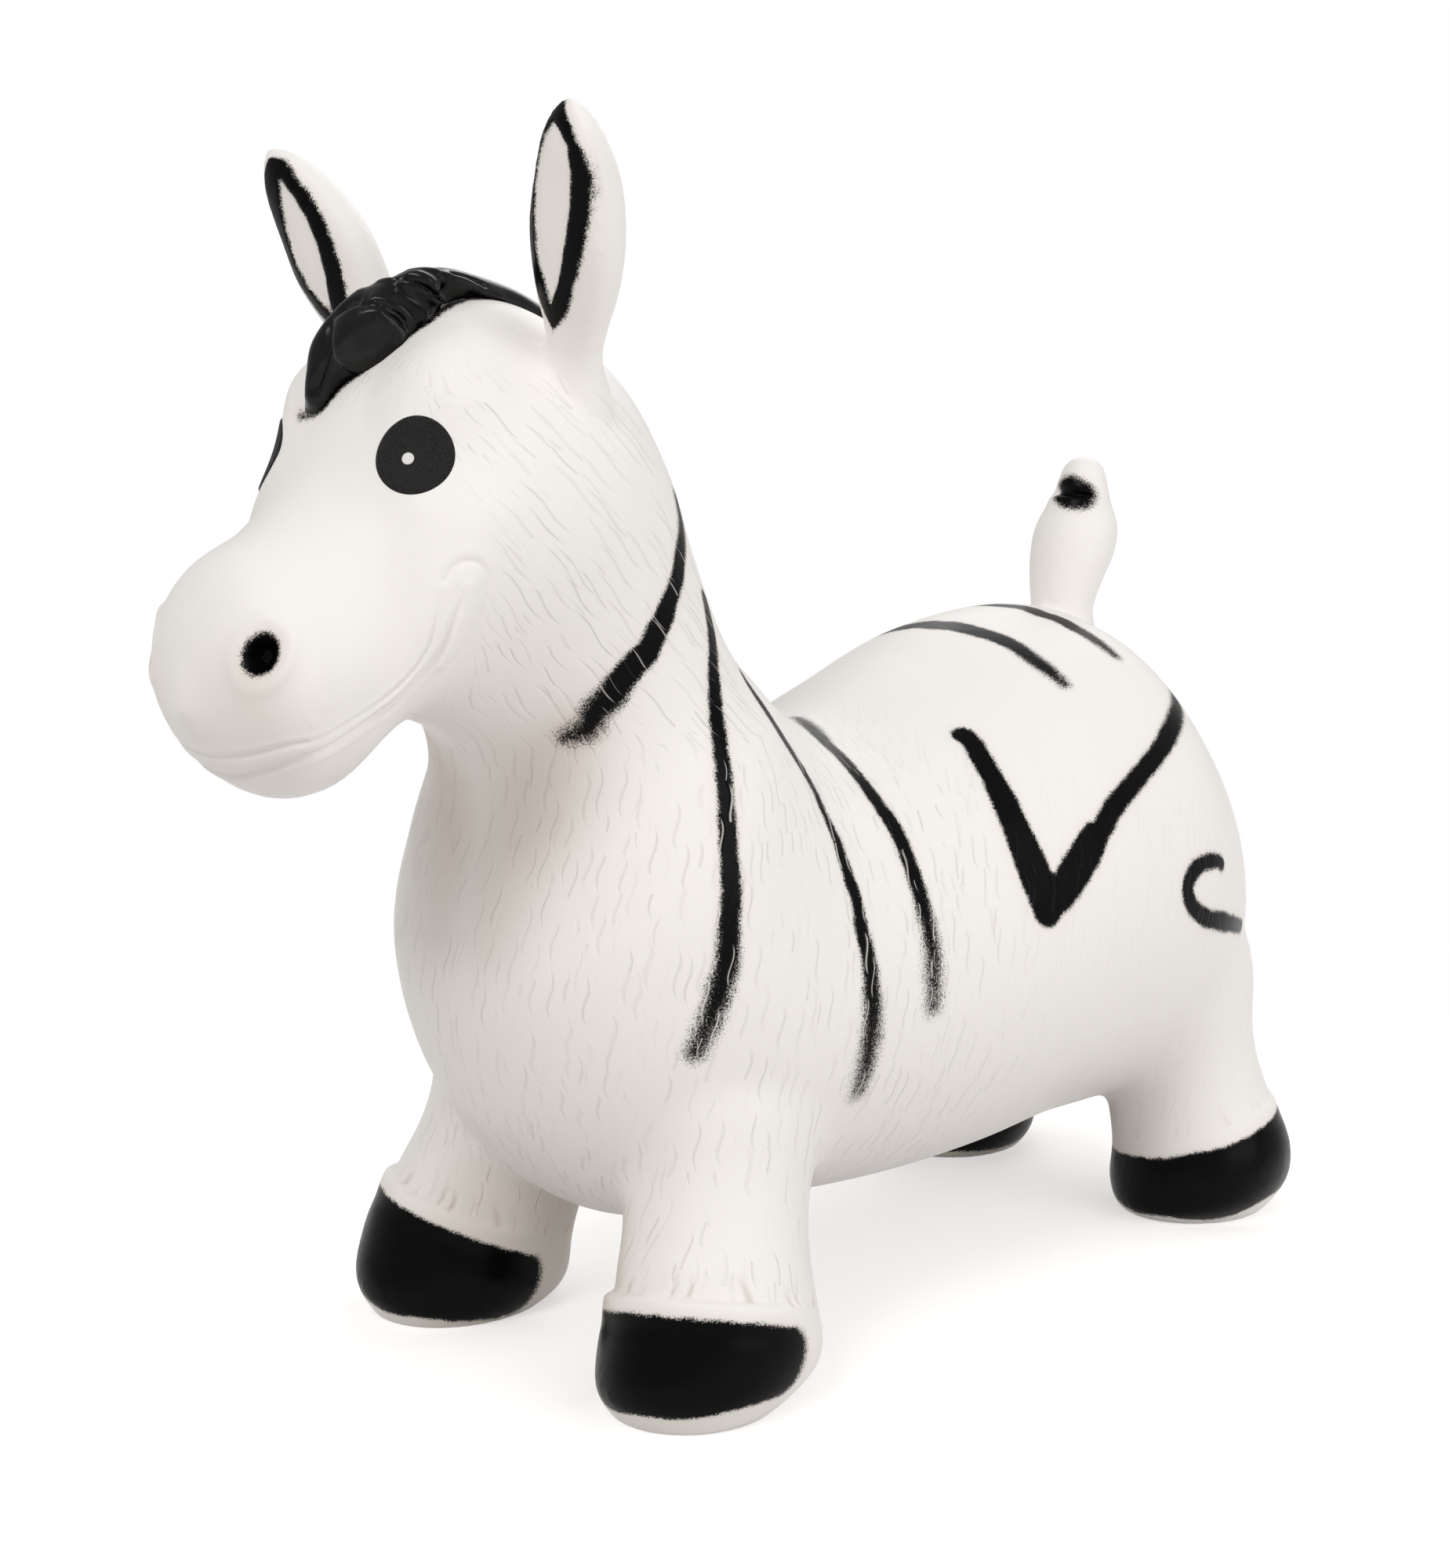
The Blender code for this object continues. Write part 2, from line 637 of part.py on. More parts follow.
def make_ear(skin, head, side):
    """One ear and the flexing root under it, and the head with both taken off."""
    name = f"{SIDE_NAMES[side]}_ear"
    root_reach = EAR_WIDTH * EAR_ROOT_REACH_SHARE
    first, direction = ear_line(side)
    pivot = first + direction * (EAR_SEAM_SHARE * EAR_LENGTH + EAR_ROOT_LENGTH / 2)
    root = cut_out(skin, f"{name}_root", ear_zone("zone", side, 0.0, EAR_ROOT_LENGTH, root_reach))
    ear = cut_out(skin, name, ear_zone("zone", side, EAR_ROOT_LENGTH + SEAM_GAP, 2 * EAR_LENGTH, EAR_WIDTH))
    beside = ear_zone("zone", side, -SEAM_GAP, EAR_ROOT_LENGTH, root_reach)
    above = ear_zone("zone", side, EAR_ROOT_LENGTH - SEAM_GAP, 2 * EAR_LENGTH, EAR_WIDTH)
    head = combined(combined(head, beside, "DIFFERENCE"), above, "DIFFERENCE")
    return head, root, with_origin(ear, pivot)


def make_tail(skin, body):
    """The tail and its flexing root, and the body with both taken off."""
    root = cut_out(skin, "tail_root", tail_zone("zone", 0.0, TAIL_ROOT_LENGTH))
    tail = cut_out(skin, "tail", tail_zone("zone", TAIL_ROOT_LENGTH + SEAM_GAP, 2 * TAIL_LENGTH))
    body = combined(body, tail_zone("zone", -SEAM_GAP, 2 * TAIL_LENGTH), "DIFFERENCE")
    pivot = tail_centre(TAIL_SEAM_SHARE, 0.0) + np.array(UPWARD) * TAIL_ROOT_LENGTH / 2
    return body, root, with_origin(tail, pivot)


def make_eye(outside, trunk, side):
    """A thin disc that lies on one side of the face."""
    facing = mirrored(EYE_FACING, side)
    aim = place_on_body(*EYE_PLACE_SHARES)
    aim[0] = side * EYE_SPREAD_SHARE * BODY_WIDTH / 2
    radius = EYE_DIAMETER / 2
    centre = facing_point(outside, aim, facing)
    eye = turned(f"{SIDE_NAMES[side]}_eye", centre, facing, ((radius, -radius), (radius, radius)))
    eye = combined(eye, grown(trunk, "eye_front", SEAM_GAP + EYE_THICKNESS), "INTERSECT")
    return combined(eye, grown(trunk, "eye_back", SEAM_GAP), "DIFFERENCE")


def make_plug(outside):
    """The push-in plug of the air valve, its head level with the belly."""
    place = belly_point(outside)
    stem = VALVE_BORE / 2 - PLUG_FIT
    head = PLUG_HEAD_DIAMETER / 2
    profile = (
        (head, 0.0),
        (head, PLUG_HEAD_THICKNESS),
        (stem, PLUG_HEAD_THICKNESS),
        (stem, PLUG_STEM_LENGTH - PLUG_TIP_LENGTH),
        (stem * PLUG_TIP_SHARE, PLUG_STEM_LENGTH),
    )
    return with_origin(turned("valve_plug", place, UPWARD, profile), place)


def finish(piece, look):
    """Gives a piece a material of its own and smooth shading, and its mesh the piece's name."""
    piece.data.name = piece.name
    piece.data.materials.clear()
    piece.data.materials.append(paint(piece.name, *look))
    piece.data.shade_smooth()
    piece.data.set_sharp_from_angle(angle=math.radians(SHARP_ANGLE))


def main():
    """Makes every piece of the animal."""
    clear_scene()
    outside = skin_body("outside", 0.0)
    trunk = lofted("trunk", trunk_rings(0.0, TRUNK_SIDES))
    skin = hollow_skin(outside)

    body = copied(skin, "body_skin")
    body = combined(body, neck_zone("zone", -NECK_FLEX_LENGTH - SEAM_GAP, BODY_LENGTH), "DIFFERENCE")
    neck = cut_out(skin, "neck_skin", neck_zone("zone", -NECK_FLEX_LENGTH, 0.0))
    head = cut_out(skin, "head_skin", neck_zone("zone", SEAM_GAP, BODY_LENGTH))
    white, black, on_head = [neck], [], []

    for side in SIDE_NAMES:
        for end in ("front", "hind"):
            body, leg, hoof = make_foot(skin, body, side, end)
            white.append(leg)
            black.append(hoof)
        head, root, ear = make_ear(skin, head, side)
        white += [root, ear]
        on_head += [root, ear]
    body, tail_root, tail = make_tail(skin, body)
    forelock = combined(lofted("forelock", forelock_rings()), grown(trunk, "seat", SEAM_GAP), "DIFFERENCE")
    eyes = [make_eye(outside, trunk, side) for side in SIDE_NAMES]
    plug = make_plug(outside)
    for spare in (outside, trunk, skin):
        bpy.data.objects.remove(spare, do_unlink=True)

    with_origin(head, place_on_body(*NECK_PIVOT_SHARES))
    for piece in on_head + eyes + [forelock]:
        attached(piece, head)
    for piece in white + [body, head, tail_root, tail]:
        finish(piece, WHITE_VINYL)
    for piece in black + [forelock]:
        finish(piece, BLACK_PAINT)
    for piece in eyes:
        finish(piece, EYE_PRINT)
    finish(plug, PLUG_VINYL)


main()
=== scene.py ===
"""Looks of the inflatable bouncing zebra: its vinyl skin with painted stripes, its mane, eyes and air valve.

Metres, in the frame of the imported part: +Z up, the muzzle to -Y and the animal's left side to +X. The skin is
one smooth surface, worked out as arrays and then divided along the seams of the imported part's bodies.
"""

import logging
import math
from collections.abc import Callable
from dataclasses import dataclass, field
from enum import Enum

import bpy
import numpy as np
from mathutils import Matrix, Vector


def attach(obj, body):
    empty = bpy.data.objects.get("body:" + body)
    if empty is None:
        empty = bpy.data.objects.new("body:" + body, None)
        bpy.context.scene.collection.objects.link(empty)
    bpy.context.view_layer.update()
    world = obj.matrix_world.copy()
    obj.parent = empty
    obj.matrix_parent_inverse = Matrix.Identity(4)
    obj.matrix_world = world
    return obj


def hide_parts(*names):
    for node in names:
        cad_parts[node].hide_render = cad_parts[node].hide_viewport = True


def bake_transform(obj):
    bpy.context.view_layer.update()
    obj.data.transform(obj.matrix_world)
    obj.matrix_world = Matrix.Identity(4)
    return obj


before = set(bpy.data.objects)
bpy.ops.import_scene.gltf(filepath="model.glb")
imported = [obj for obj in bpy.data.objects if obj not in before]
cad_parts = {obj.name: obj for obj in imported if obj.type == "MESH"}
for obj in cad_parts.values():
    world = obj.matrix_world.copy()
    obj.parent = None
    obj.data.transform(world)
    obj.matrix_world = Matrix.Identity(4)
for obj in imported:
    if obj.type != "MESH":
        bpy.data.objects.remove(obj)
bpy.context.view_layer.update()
log = logging.getLogger("zebra")

Points = np.ndarray
SIDES = {1.0: "left", -1.0: "right"}
MM = 0.001
FAR = 0.1  # stands for any distance too long to matter, in metres


class End(Enum):
    """The two ends of the animal."""

    FRONT = "front"
    HIND = "hind"


class Slot(Enum):
    """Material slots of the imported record."""

    SKIN = "white_vinyl"
    PAINT = "black_paint_on_vinyl"
    EYE = "eye_print"
    PLUG = "plug_vinyl"


# ---------------------------------------------------------------- arrays


def smooth_rows(stations: tuple, steps: int) -> Points:
    """Rows on a Catmull-Rom curve through the stations.

    Row(t) = (2B + (C - A) t + (2A - 5B + 4C - D) t^2 + (3B - A - 3C + D) t^3) / 2 between stations B and C.

    Args:
        stations: rows of numbers.
        steps: rows from each station to the next.

    Returns:
        The rows, with the last station at the end.
    """
    rows = np.array(stations, float)
    padded = np.vstack((2 * rows[0] - rows[1], rows, 2 * rows[-1] - rows[-2]))
    before, here, there, after = (padded[i : i + len(rows) - 1, None] for i in range(4))
    t = (np.arange(steps) / steps)[None, :, None]
    curve = 2 * here + (there - before) * t + (2 * before - 5 * here + 4 * there - after) * t**2
    curve = (curve + (3 * here - before - 3 * there + after) * t**3) / 2
    return np.vstack((curve.reshape(-1, rows.shape[1]), rows[-1:]))


def smoothstep(low: float, high: float, value: Points) -> Points:
    """0 below low, 1 above high, and 3t^2 - 2t^3 between them."""
    t = np.clip((value - low) / (high - low), 0.0, 1.0)
    return t * t * (3 - 2 * t)


def bell(distance: Points, reach: float) -> Points:
    """1 at distance 0, falling as (1 - (d/reach)^2)^2 to 0 at the reach."""
    return np.clip(1 - (distance / reach) ** 2, 0.0, 1.0) ** 2


def unit(vectors: Points) -> Points:
    """The vectors at length 1."""
    return vectors / np.maximum(np.linalg.norm(vectors, axis=-1, keepdims=True), 1e-12)


def line_distance(points: Points, line: Points) -> tuple[Points, Points]:
    """Distance of each point to a polyline, and how far along the line its nearest place is.

    Args:
        points: the points, n by 3.
        line: the line's points, k by 3.

    Returns:
        The distances, and the places as shares of the line's length.
    """
    best = np.full(len(points), np.inf)
    along = np.zeros(len(points))
    lengths = np.linalg.norm(np.diff(line, axis=0), axis=1)
    starts = np.concatenate(([0.0], np.cumsum(lengths)))
    for start, end, length, before in zip(line, line[1:], lengths, starts):
        t = np.clip((points - start) @ (end - start) / max(length**2, 1e-12), 0.0, 1.0)
        gap = np.linalg.norm(points - start - t[:, None] * (end - start), axis=1)
        nearer = gap < best
        best = np.where(nearer, gap, best)
        along = np.where(nearer, (before + t * length) / starts[-1], along)
    return best, along


def turns(sides: int) -> Points:
    """The angle of each side of a ring, from 0 up to a full turn."""
    return np.linspace(0.0, 2 * math.pi, sides, endpoint=False)


def from_valve(points: Points) -> Points:
    """Level distance from the valve's middle."""
    return np.hypot(points[:, 0] - VALVE_PLACE[0], points[:, 1] - VALVE_PLACE[1])


def anywhere(points: Points) -> Points:
    """True for every point."""
    return np.ones(len(points), bool)


def on_left(points: Points) -> Points:
    """The points with those of the right side mirrored to the left."""
    return np.column_stack((np.abs(points[:, 0]), points[:, 1:]))


def ring_faces(rows: int, sides: int) -> Points:
    """Quads of a closed ring grid: (r, s), (r, s+1), (r+1, s+1), (r+1, s), with s taken round.

    Args:
        rows: how many rings.
        sides: how many points each ring has.

    Returns:
        four point numbers for each quad.
    """
    r, s = np.meshgrid(np.arange(rows - 1), np.arange(sides), indexing="ij")
    t = (s + 1) % sides
    return np.stack((r * sides + s, r * sides + t, (r + 1) * sides + t, (r + 1) * sides + s), -1).reshape(-1, 4)


def signed_volume(points: Points, triangles: Points) -> float:
    """Volume of a closed surface: a sixth of the sum of A . (B x C)."""
    a, b, c = (points[triangles[:, k]] for k in range(3))
    return float(np.einsum("ij,ij->i", a, np.cross(b, c)).sum() / 6)


@dataclass
class Surface:
    """A surface of triangles, as arrays."""

    points: Points
    triangles: Points

    def edges(self) -> tuple[Points, Points]:
        """The edges without repeats, and for each triangle the edges opposite to none: ab, bc, ca.

        Returns:
            The edges, e by 2, and the triangles' edge numbers, m by 3.
        """
        pairs = self.triangles[:, [0, 1, 1, 2, 2, 0]].reshape(-1, 2)
        low, high = pairs.min(1), pairs.max(1)
        keys, place = np.unique(low.astype(np.int64) * len(self.points) + high, return_inverse=True)
        edges = np.column_stack((keys // len(self.points), keys % len(self.points)))
        return edges, place.reshape(-1, 3)

    def normals(self) -> Points:
        """Normals of the points: the sum of the cross products of the triangles round each one.

        Returns:
            a unit vector for each point.
        """
        a, b, c = (self.points[self.triangles[:, k]] for k in range(3))
        cross = np.cross(b - a, c - a)
        total = np.zeros_like(self.points)
        for k in range(3):
            for axis in range(3):
                total[:, axis] += np.bincount(self.triangles[:, k], cross[:, axis], len(self.points))
        return unit(total)

    def with_split_edges(self, chosen: Points, edges: Points, numbers: Points, places: Points) -> "Surface":
        """The surface with new points on the chosen edges, and its triangles divided to suit.

        A triangle with one, two or three divided edges becomes two, three or four triangles. Two neighbours
        always agree, because the choice belongs to the edge that they share.

        Args:
            chosen: for each edge, whether it is divided.
            edges: the edges, as edges() gives them.
            numbers: the triangles' edge numbers, as edges() gives them.
            places: the new point of each edge.

        Returns:
            The new surface.
        """
        count = len(self.points)
        new_number = np.full(len(edges), -1)
        new_number[chosen] = count + np.arange(chosen.sum())
        points = np.vstack((self.points, places[chosen]))
        marks = chosen[numbers]
        amount = marks.sum(1)
        made = [self.triangles[amount == 0]]
        for shift in range(3):
            order = [(shift + k) % 3 for k in range(3)]
            turned = self.triangles[:, order]
            mids = new_number[numbers[:, order]]
            first = (amount == 1) & marks[:, order[0]]
            a, b, c = turned[first].T
            m = mids[first, 0]
            made += [np.column_stack((a, m, c)), np.column_stack((m, b, c))]
            pair = (amount == 2) & marks[:, order[0]] & marks[:, order[1]]
            a, b, c = turned[pair].T
            m, n = mids[pair, 0], mids[pair, 1]
            made += [np.column_stack((m, b, n)), np.column_stack((a, m, n)), np.column_stack((a, n, c))]
        a, b, c = self.triangles[amount == 3].T
        m, n, o = new_number[numbers[amount == 3]].T
        for corner in ((a, m, o), (m, b, n), (o, n, c), (m, n, o)):
            made.append(np.column_stack(corner))
        return Surface(points, np.vstack(made))

    def refined(self, inside: Callable[[Points], Points]) -> "Surface":
        """The surface with every edge halved whose middle lies in the region.

        Args:
            inside: gives True for the points of the region.

        Returns:
            The finer surface.
        """
        edges, numbers = self.edges()
        middles = self.points[edges].mean(1)
        return self.with_split_edges(inside(middles), edges, numbers, middles)

    def cut(self, point: Points, normal: Points, near: Callable[[Points], Points], snap: float) -> "Surface":
        """The surface with edges laid along a plane, where it crosses the region near it.

        A point closer than the snap moves onto the plane: P - ((P - Q) . N) N. A crossing edge is divided at
        A + (B - A) h(A) / (h(A) - h(B)), where h is the height over the plane.

        Args:
            point: a point Q of the plane.
            normal: its unit normal N.
            near: gives True for the points of the region.
            snap: the distance within which points move onto the plane.

        Returns:
            The divided surface.
        """
        height = (self.points - point) @ normal
        close = (np.abs(height) < snap) & near(self.points)
        moved = self.points - np.where(close, height, 0.0)[:, None] * normal
        height = np.where(close, 0.0, height)
        flat = Surface(moved, self.triangles)
        edges, numbers = flat.edges()
        low, high = height[edges[:, 0]], height[edges[:, 1]]
        middles = moved[edges].mean(1)
        crossing = (low * high < 0) & near(middles)
        share = np.where(crossing, low / np.where(crossing, low - high, 1.0), 0.5)
        places = moved[edges[:, 0]] * (1 - share)[:, None] + moved[edges[:, 1]] * share[:, None]
        return flat.with_split_edges(crossing, edges, numbers, places)

    def relaxed(self, rounds: int, weight: Points, back: float = 0.0) -> "Surface":
        """The surface with each point moved towards the mean of its neighbours.

        Each round is P + w (mean - P), followed by the same with -back in place of w when back isn't 0, which
        keeps the size.

        Args:
            rounds: how many times.
            weight: w for each point.
            back: share of the step that is taken back.

        Returns:
            The smoother surface.
        """
        edges, _ = self.edges()
        count = len(self.points)
        degree = np.bincount(edges.ravel(), minlength=count)[:, None]
        points = self.points.copy()
        for _ in range(rounds):
            for step in (weight, -weight * back) if back else (weight,):
                total = np.empty_like(points)
                for axis in range(3):
                    total[:, axis] = np.bincount(edges[:, 0], points[edges[:, 1], axis], count)
                    total[:, axis] += np.bincount(edges[:, 1], points[edges[:, 0], axis], count)
                points = points + step[:, None] * (total / degree - points)
        return Surface(points, self.triangles)


def loft(rings: Points) -> Surface:
    """A closed body through rings of points, with a fan from the middle of each end ring.

    Args:
        rings: rows by sides by 3.

    Returns:
        The body, with its triangles facing out.
    """
    rows, sides = rings.shape[:2]
    points = np.vstack((rings.reshape(-1, 3), rings[0].mean(0), rings[-1].mean(0)))
    quads = ring_faces(rows, sides)
    around = np.arange(sides)
    ahead = (around + 1) % sides
    first = np.column_stack((ahead, around, np.full(sides, rows * sides)))
    last_row = (rows - 1) * sides
    last = np.column_stack((last_row + around, last_row + ahead, np.full(sides, rows * sides + 1)))
    triangles = np.vstack((quads[:, [0, 1, 2]], quads[:, [0, 2, 3]], first, last))
    if signed_volume(points, triangles) < 0:
        triangles = triangles[:, ::-1]
    return Surface(points, triangles)


def mesh_from(name: str, surface: Surface) -> bpy.types.Mesh:
    """A Blender mesh of the surface, shaded smooth.

    Args:
        name: the mesh's name.
        surface: the surface.

    Returns:
        the mesh.
    """
    mesh = bpy.data.meshes.new(name)
    mesh.from_pydata(surface.points, [], surface.triangles)
    mesh.polygons.foreach_set("use_smooth", np.ones(len(mesh.polygons), bool))
    mesh.update()
    return mesh


def fused(parts: list[Surface], voxel: float) -> Surface:
    """The parts as one closed surface of even small faces.

    Args:
        parts: closed bodies that run into each other.
        voxel: the size of the faces.

    Returns:
        The outer surface of them all.
    """
    starts = np.concatenate(([0], np.cumsum([len(part.points) for part in parts])))
    points = np.vstack([part.points for part in parts])
    triangles = np.vstack([part.triangles + start for part, start in zip(parts, starts)])
    thing = bpy.data.objects.new("fusing", mesh_from("fusing", Surface(points, triangles)))
    bpy.context.scene.collection.objects.link(thing)
    remesh = thing.modifiers.new("fuse", "REMESH")
    remesh.mode = "VOXEL"
    remesh.voxel_size = voxel
    bpy.context.view_layer.update()
    made = thing.evaluated_get(bpy.context.evaluated_depsgraph_get()).to_mesh()
    made.calc_loop_triangles()
    points = np.empty(len(made.vertices) * 3, np.float32)
    made.vertices.foreach_get("co", points)
    triangles = np.empty(len(made.loop_triangles) * 3, np.int32)
    made.loop_triangles.foreach_get("vertices", triangles)
    bpy.data.objects.remove(thing, do_unlink=True)
    return Surface(points.astype(float).reshape(-1, 3), triangles.astype(np.int64).reshape(-1, 3))


# ---------------------------------------------------------------- shapes


@dataclass(frozen=True)
class Trunk:
    """Body, neck and head: rings from the rump to the muzzle.

    Each station gives its top point and its bottom point as shares of the length and of the crown's height, then
    half its width as a share of half the whole width, and how far the width leans to the top.
    """

    length: float = 0.592
    crown: float = 0.4295
    width: float = 0.240
    sides: int = 160
    steps: int = 8
    stations: tuple = (
        (0.999, 0.363, 1.000, 0.350, 0.031, 0.000),
        (0.982, 0.475, 0.991, 0.236, 0.416, 0.000),
        (0.938, 0.573, 0.959, 0.157, 0.670, 0.000),
        (0.885, 0.652, 0.905, 0.118, 0.850, -0.050),
        (0.817, 0.701, 0.824, 0.112, 0.990, -0.050),
        (0.721, 0.691, 0.731, 0.114, 1.000, -0.050),
        (0.632, 0.648, 0.638, 0.105, 0.970, -0.050),
        (0.555, 0.612, 0.537, 0.105, 0.920, -0.050),
        (0.509, 0.605, 0.423, 0.118, 0.882, -0.050),
        (0.478, 0.621, 0.317, 0.137, 0.857, -0.080),
        (0.455, 0.646, 0.242, 0.230, 0.825, -0.080),
        (0.430, 0.674, 0.207, 0.350, 0.773, -0.040),
        (0.409, 0.700, 0.212, 0.447, 0.685, 0.000),
        (0.390, 0.741, 0.230, 0.533, 0.613, 0.000),
        (0.368, 0.811, 0.218, 0.602, 0.586, 0.000),
        (0.345, 0.889, 0.180, 0.633, 0.595, 0.050),
        (0.304, 0.962, 0.145, 0.637, 0.610, 0.080),
        (0.245, 1.000, 0.119, 0.623, 0.595, 0.080),
        (0.180, 0.994, 0.103, 0.603, 0.562, 0.080),
        (0.135, 0.933, 0.092, 0.585, 0.502, 0.080),
        (0.101, 0.861, 0.082, 0.581, 0.423, 0.000),
        (0.066, 0.815, 0.069, 0.580, 0.396, -0.060),
        (0.029, 0.785, 0.051, 0.587, 0.390, -0.060),
        (0.009, 0.739, 0.027, 0.613, 0.279, 0.000),
        (0.000, 0.685, 0.001, 0.659, 0.019, 0.000),
    )

    def place(self, along: Points, height: Points) -> Points:
        """Points in the middle plane at these shares of the body length and the crown height."""
        y = (along - 0.5) * self.length
        return np.stack((np.zeros_like(y), y, height * self.crown), -1)

    def rings(self) -> Points:
        """Rings: M + H cos(a), with x = w sin(a) (1 + lean cos(a)), M and H from the top and bottom points.

        Returns:
            the points of the rings, by ring and by side.
        """
        rows = smooth_rows(self.stations, self.steps)
        top, bottom = self.place(rows[:, 0], rows[:, 1]), self.place(rows[:, 2], rows[:, 3])
        middle, half = (top + bottom)[:, None] / 2, (top - bottom)[:, None] / 2
        angle = turns(self.sides)[None, :, None]
        rings = middle + np.cos(angle) * half
        half_width = rows[:, 4, None] * self.width / 2
        lean = 1 + rows[:, 5, None] * np.cos(angle[..., 0])
        rings[..., 0] += half_width * np.sin(angle[..., 0]) * lean
        return rings


@dataclass(frozen=True)
class Leg:
    """One leg with its hoof: rings from the sole into the body.

    Each station gives its height, its width and its length as shares of the leg's height and the hoof's sizes, how
    far its tilt has gone from the sole's to the coronet's, and its shift inward as a share of the hoof's width.
    """

    side: float
    end: End
    height: float = 0.1565
    hoof_width: float = 0.088
    hoof_length: float = 0.096
    hoof_top: float = 0.0365
    sides: int = 96
    steps: int = 8
    stations: tuple = (
        (-0.048, 0.520, 0.520, 0.000, 0.000),
        (0.003, 0.760, 0.790, 0.100, 0.000),
        (0.065, 0.920, 0.990, 0.300, 0.000),
        (0.141, 0.990, 0.970, 0.650, 0.000),
        (0.205, 0.955, 0.925, 0.920, 0.000),
        (0.245, 0.920, 0.885, 1.000, 0.004),
        (0.285, 0.895, 0.855, 1.000, 0.012),
        (0.335, 0.870, 0.820, 1.000, 0.028),
        (0.428, 0.850, 0.790, 1.000, 0.055),
        (0.550, 0.880, 0.830, 1.000, 0.085),
        (0.693, 0.990, 1.030, 1.000, 0.130),
        (0.857, 1.030, 1.060, 1.000, 0.230),
        (1.000, 0.720, 0.760, 1.000, 0.420),
    )

    @property
    def name(self) -> str:
        """The end and the side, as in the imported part's names."""
        return f"{self.end.value}_{SIDES[self.side]}"

    @property
    def is_front(self) -> bool:
        """Whether this is a front leg."""
        return self.end is End.FRONT

    @property
    def outward(self) -> float:
        """The sign of y towards the animal's nearer end."""
        return -1.0 if self.is_front else 1.0

    @property
    def coronet(self) -> tuple[float, float, float]:
        """Heights over the hoof's seam of the lip's crease and of the black's top, and the lip's size."""
        if self.is_front:
            return (0.0012, -0.0060, 0.0021) if self.side > 0 else (0.0088, 0.0016, 0.0021)
        return (0.0125, 0.0060, 0.0007)

    @property
    def flex(self) -> float:
        """Height of the flexing zone, square to the coronet."""
        return (0.02817 if self.is_front else 0.01901) * self.normal()[2]

    def slopes(self) -> tuple[Points, Points]:
        """Slopes of the sole and of the coronet, outward and to the animal's nearer end."""
        if self.is_front:
            return np.array((0.13, -0.04)), np.array((0.20, 0.31))
        return np.array((0.12, 0.08)), np.array((0.17, 0.19))

    def centre(self, height: Points) -> Points:
        """The middle of the leg at these heights.

        Args:
            height: the heights over the floor.

        Returns:
            a point for each height.
        """
        height = np.asarray(height, float)
        lean_in, lean_mid, place = (0.14, 0.31, 0.11651) if self.is_front else (0.06, 0.16, 0.23846)
        x = self.side * (0.08154 - lean_in * height)
        return np.stack((x, self.outward * (place - lean_mid * height), height), -1)

    def normal(self) -> Points:
        """The unit direction square to the coronet, pointing up."""
        out, end = self.slopes()[1]
        return unit(np.array((-self.side * out, -self.outward * end, 1.0)))

    def rings(self) -> Points:
        """Rings: C(h) + a cos(t) outward + b sin(t) endward, at height h + the slopes times those offsets.

        Returns:
            the points of the rings, by ring and by side.
        """
        rows = smooth_rows(self.stations, self.steps)
        angle = turns(self.sides)[None, :]
        out = rows[:, 1, None] * self.hoof_width / 2 * np.cos(angle)
        endward = rows[:, 2, None] * self.hoof_length / 2 * np.sin(angle)
        sole, coronet = self.slopes()
        slope = sole * (1 - rows[:, 3, None]) + coronet * rows[:, 3, None]
        height = rows[:, 0] * self.height
        centre = self.centre(height)
        centre[:, 0] -= self.side * rows[:, 4] * self.hoof_width
        rings = np.repeat(centre[:, None], self.sides, axis=1)
        rings[..., 0] += self.side * out
        rings[..., 1] += self.outward * endward
        rings[..., 2] += slope[:, 0, None] * out + slope[:, 1, None] * endward
        return rings

    def height_over_hoof(self, points: Points) -> Points:
        """Height of the points over the seam at the top of the hoof, square to it."""
        return (points - self.centre(self.hoof_top)) @ self.normal()

    def from_axis(self, points: Points) -> Points:
        """Distance of the points from the leg's middle line, level."""
        return np.linalg.norm((points - self.centre(points[:, 2]))[:, :2], axis=1)

    def near(self, points: Points) -> Points:
        """True for points of this leg and not of the body beside it."""
        reach = 0.056 if self.is_front else 0.052
        return (self.from_axis(points) < reach) & (self.height_over_hoof(points) < self.flex + 0.006)


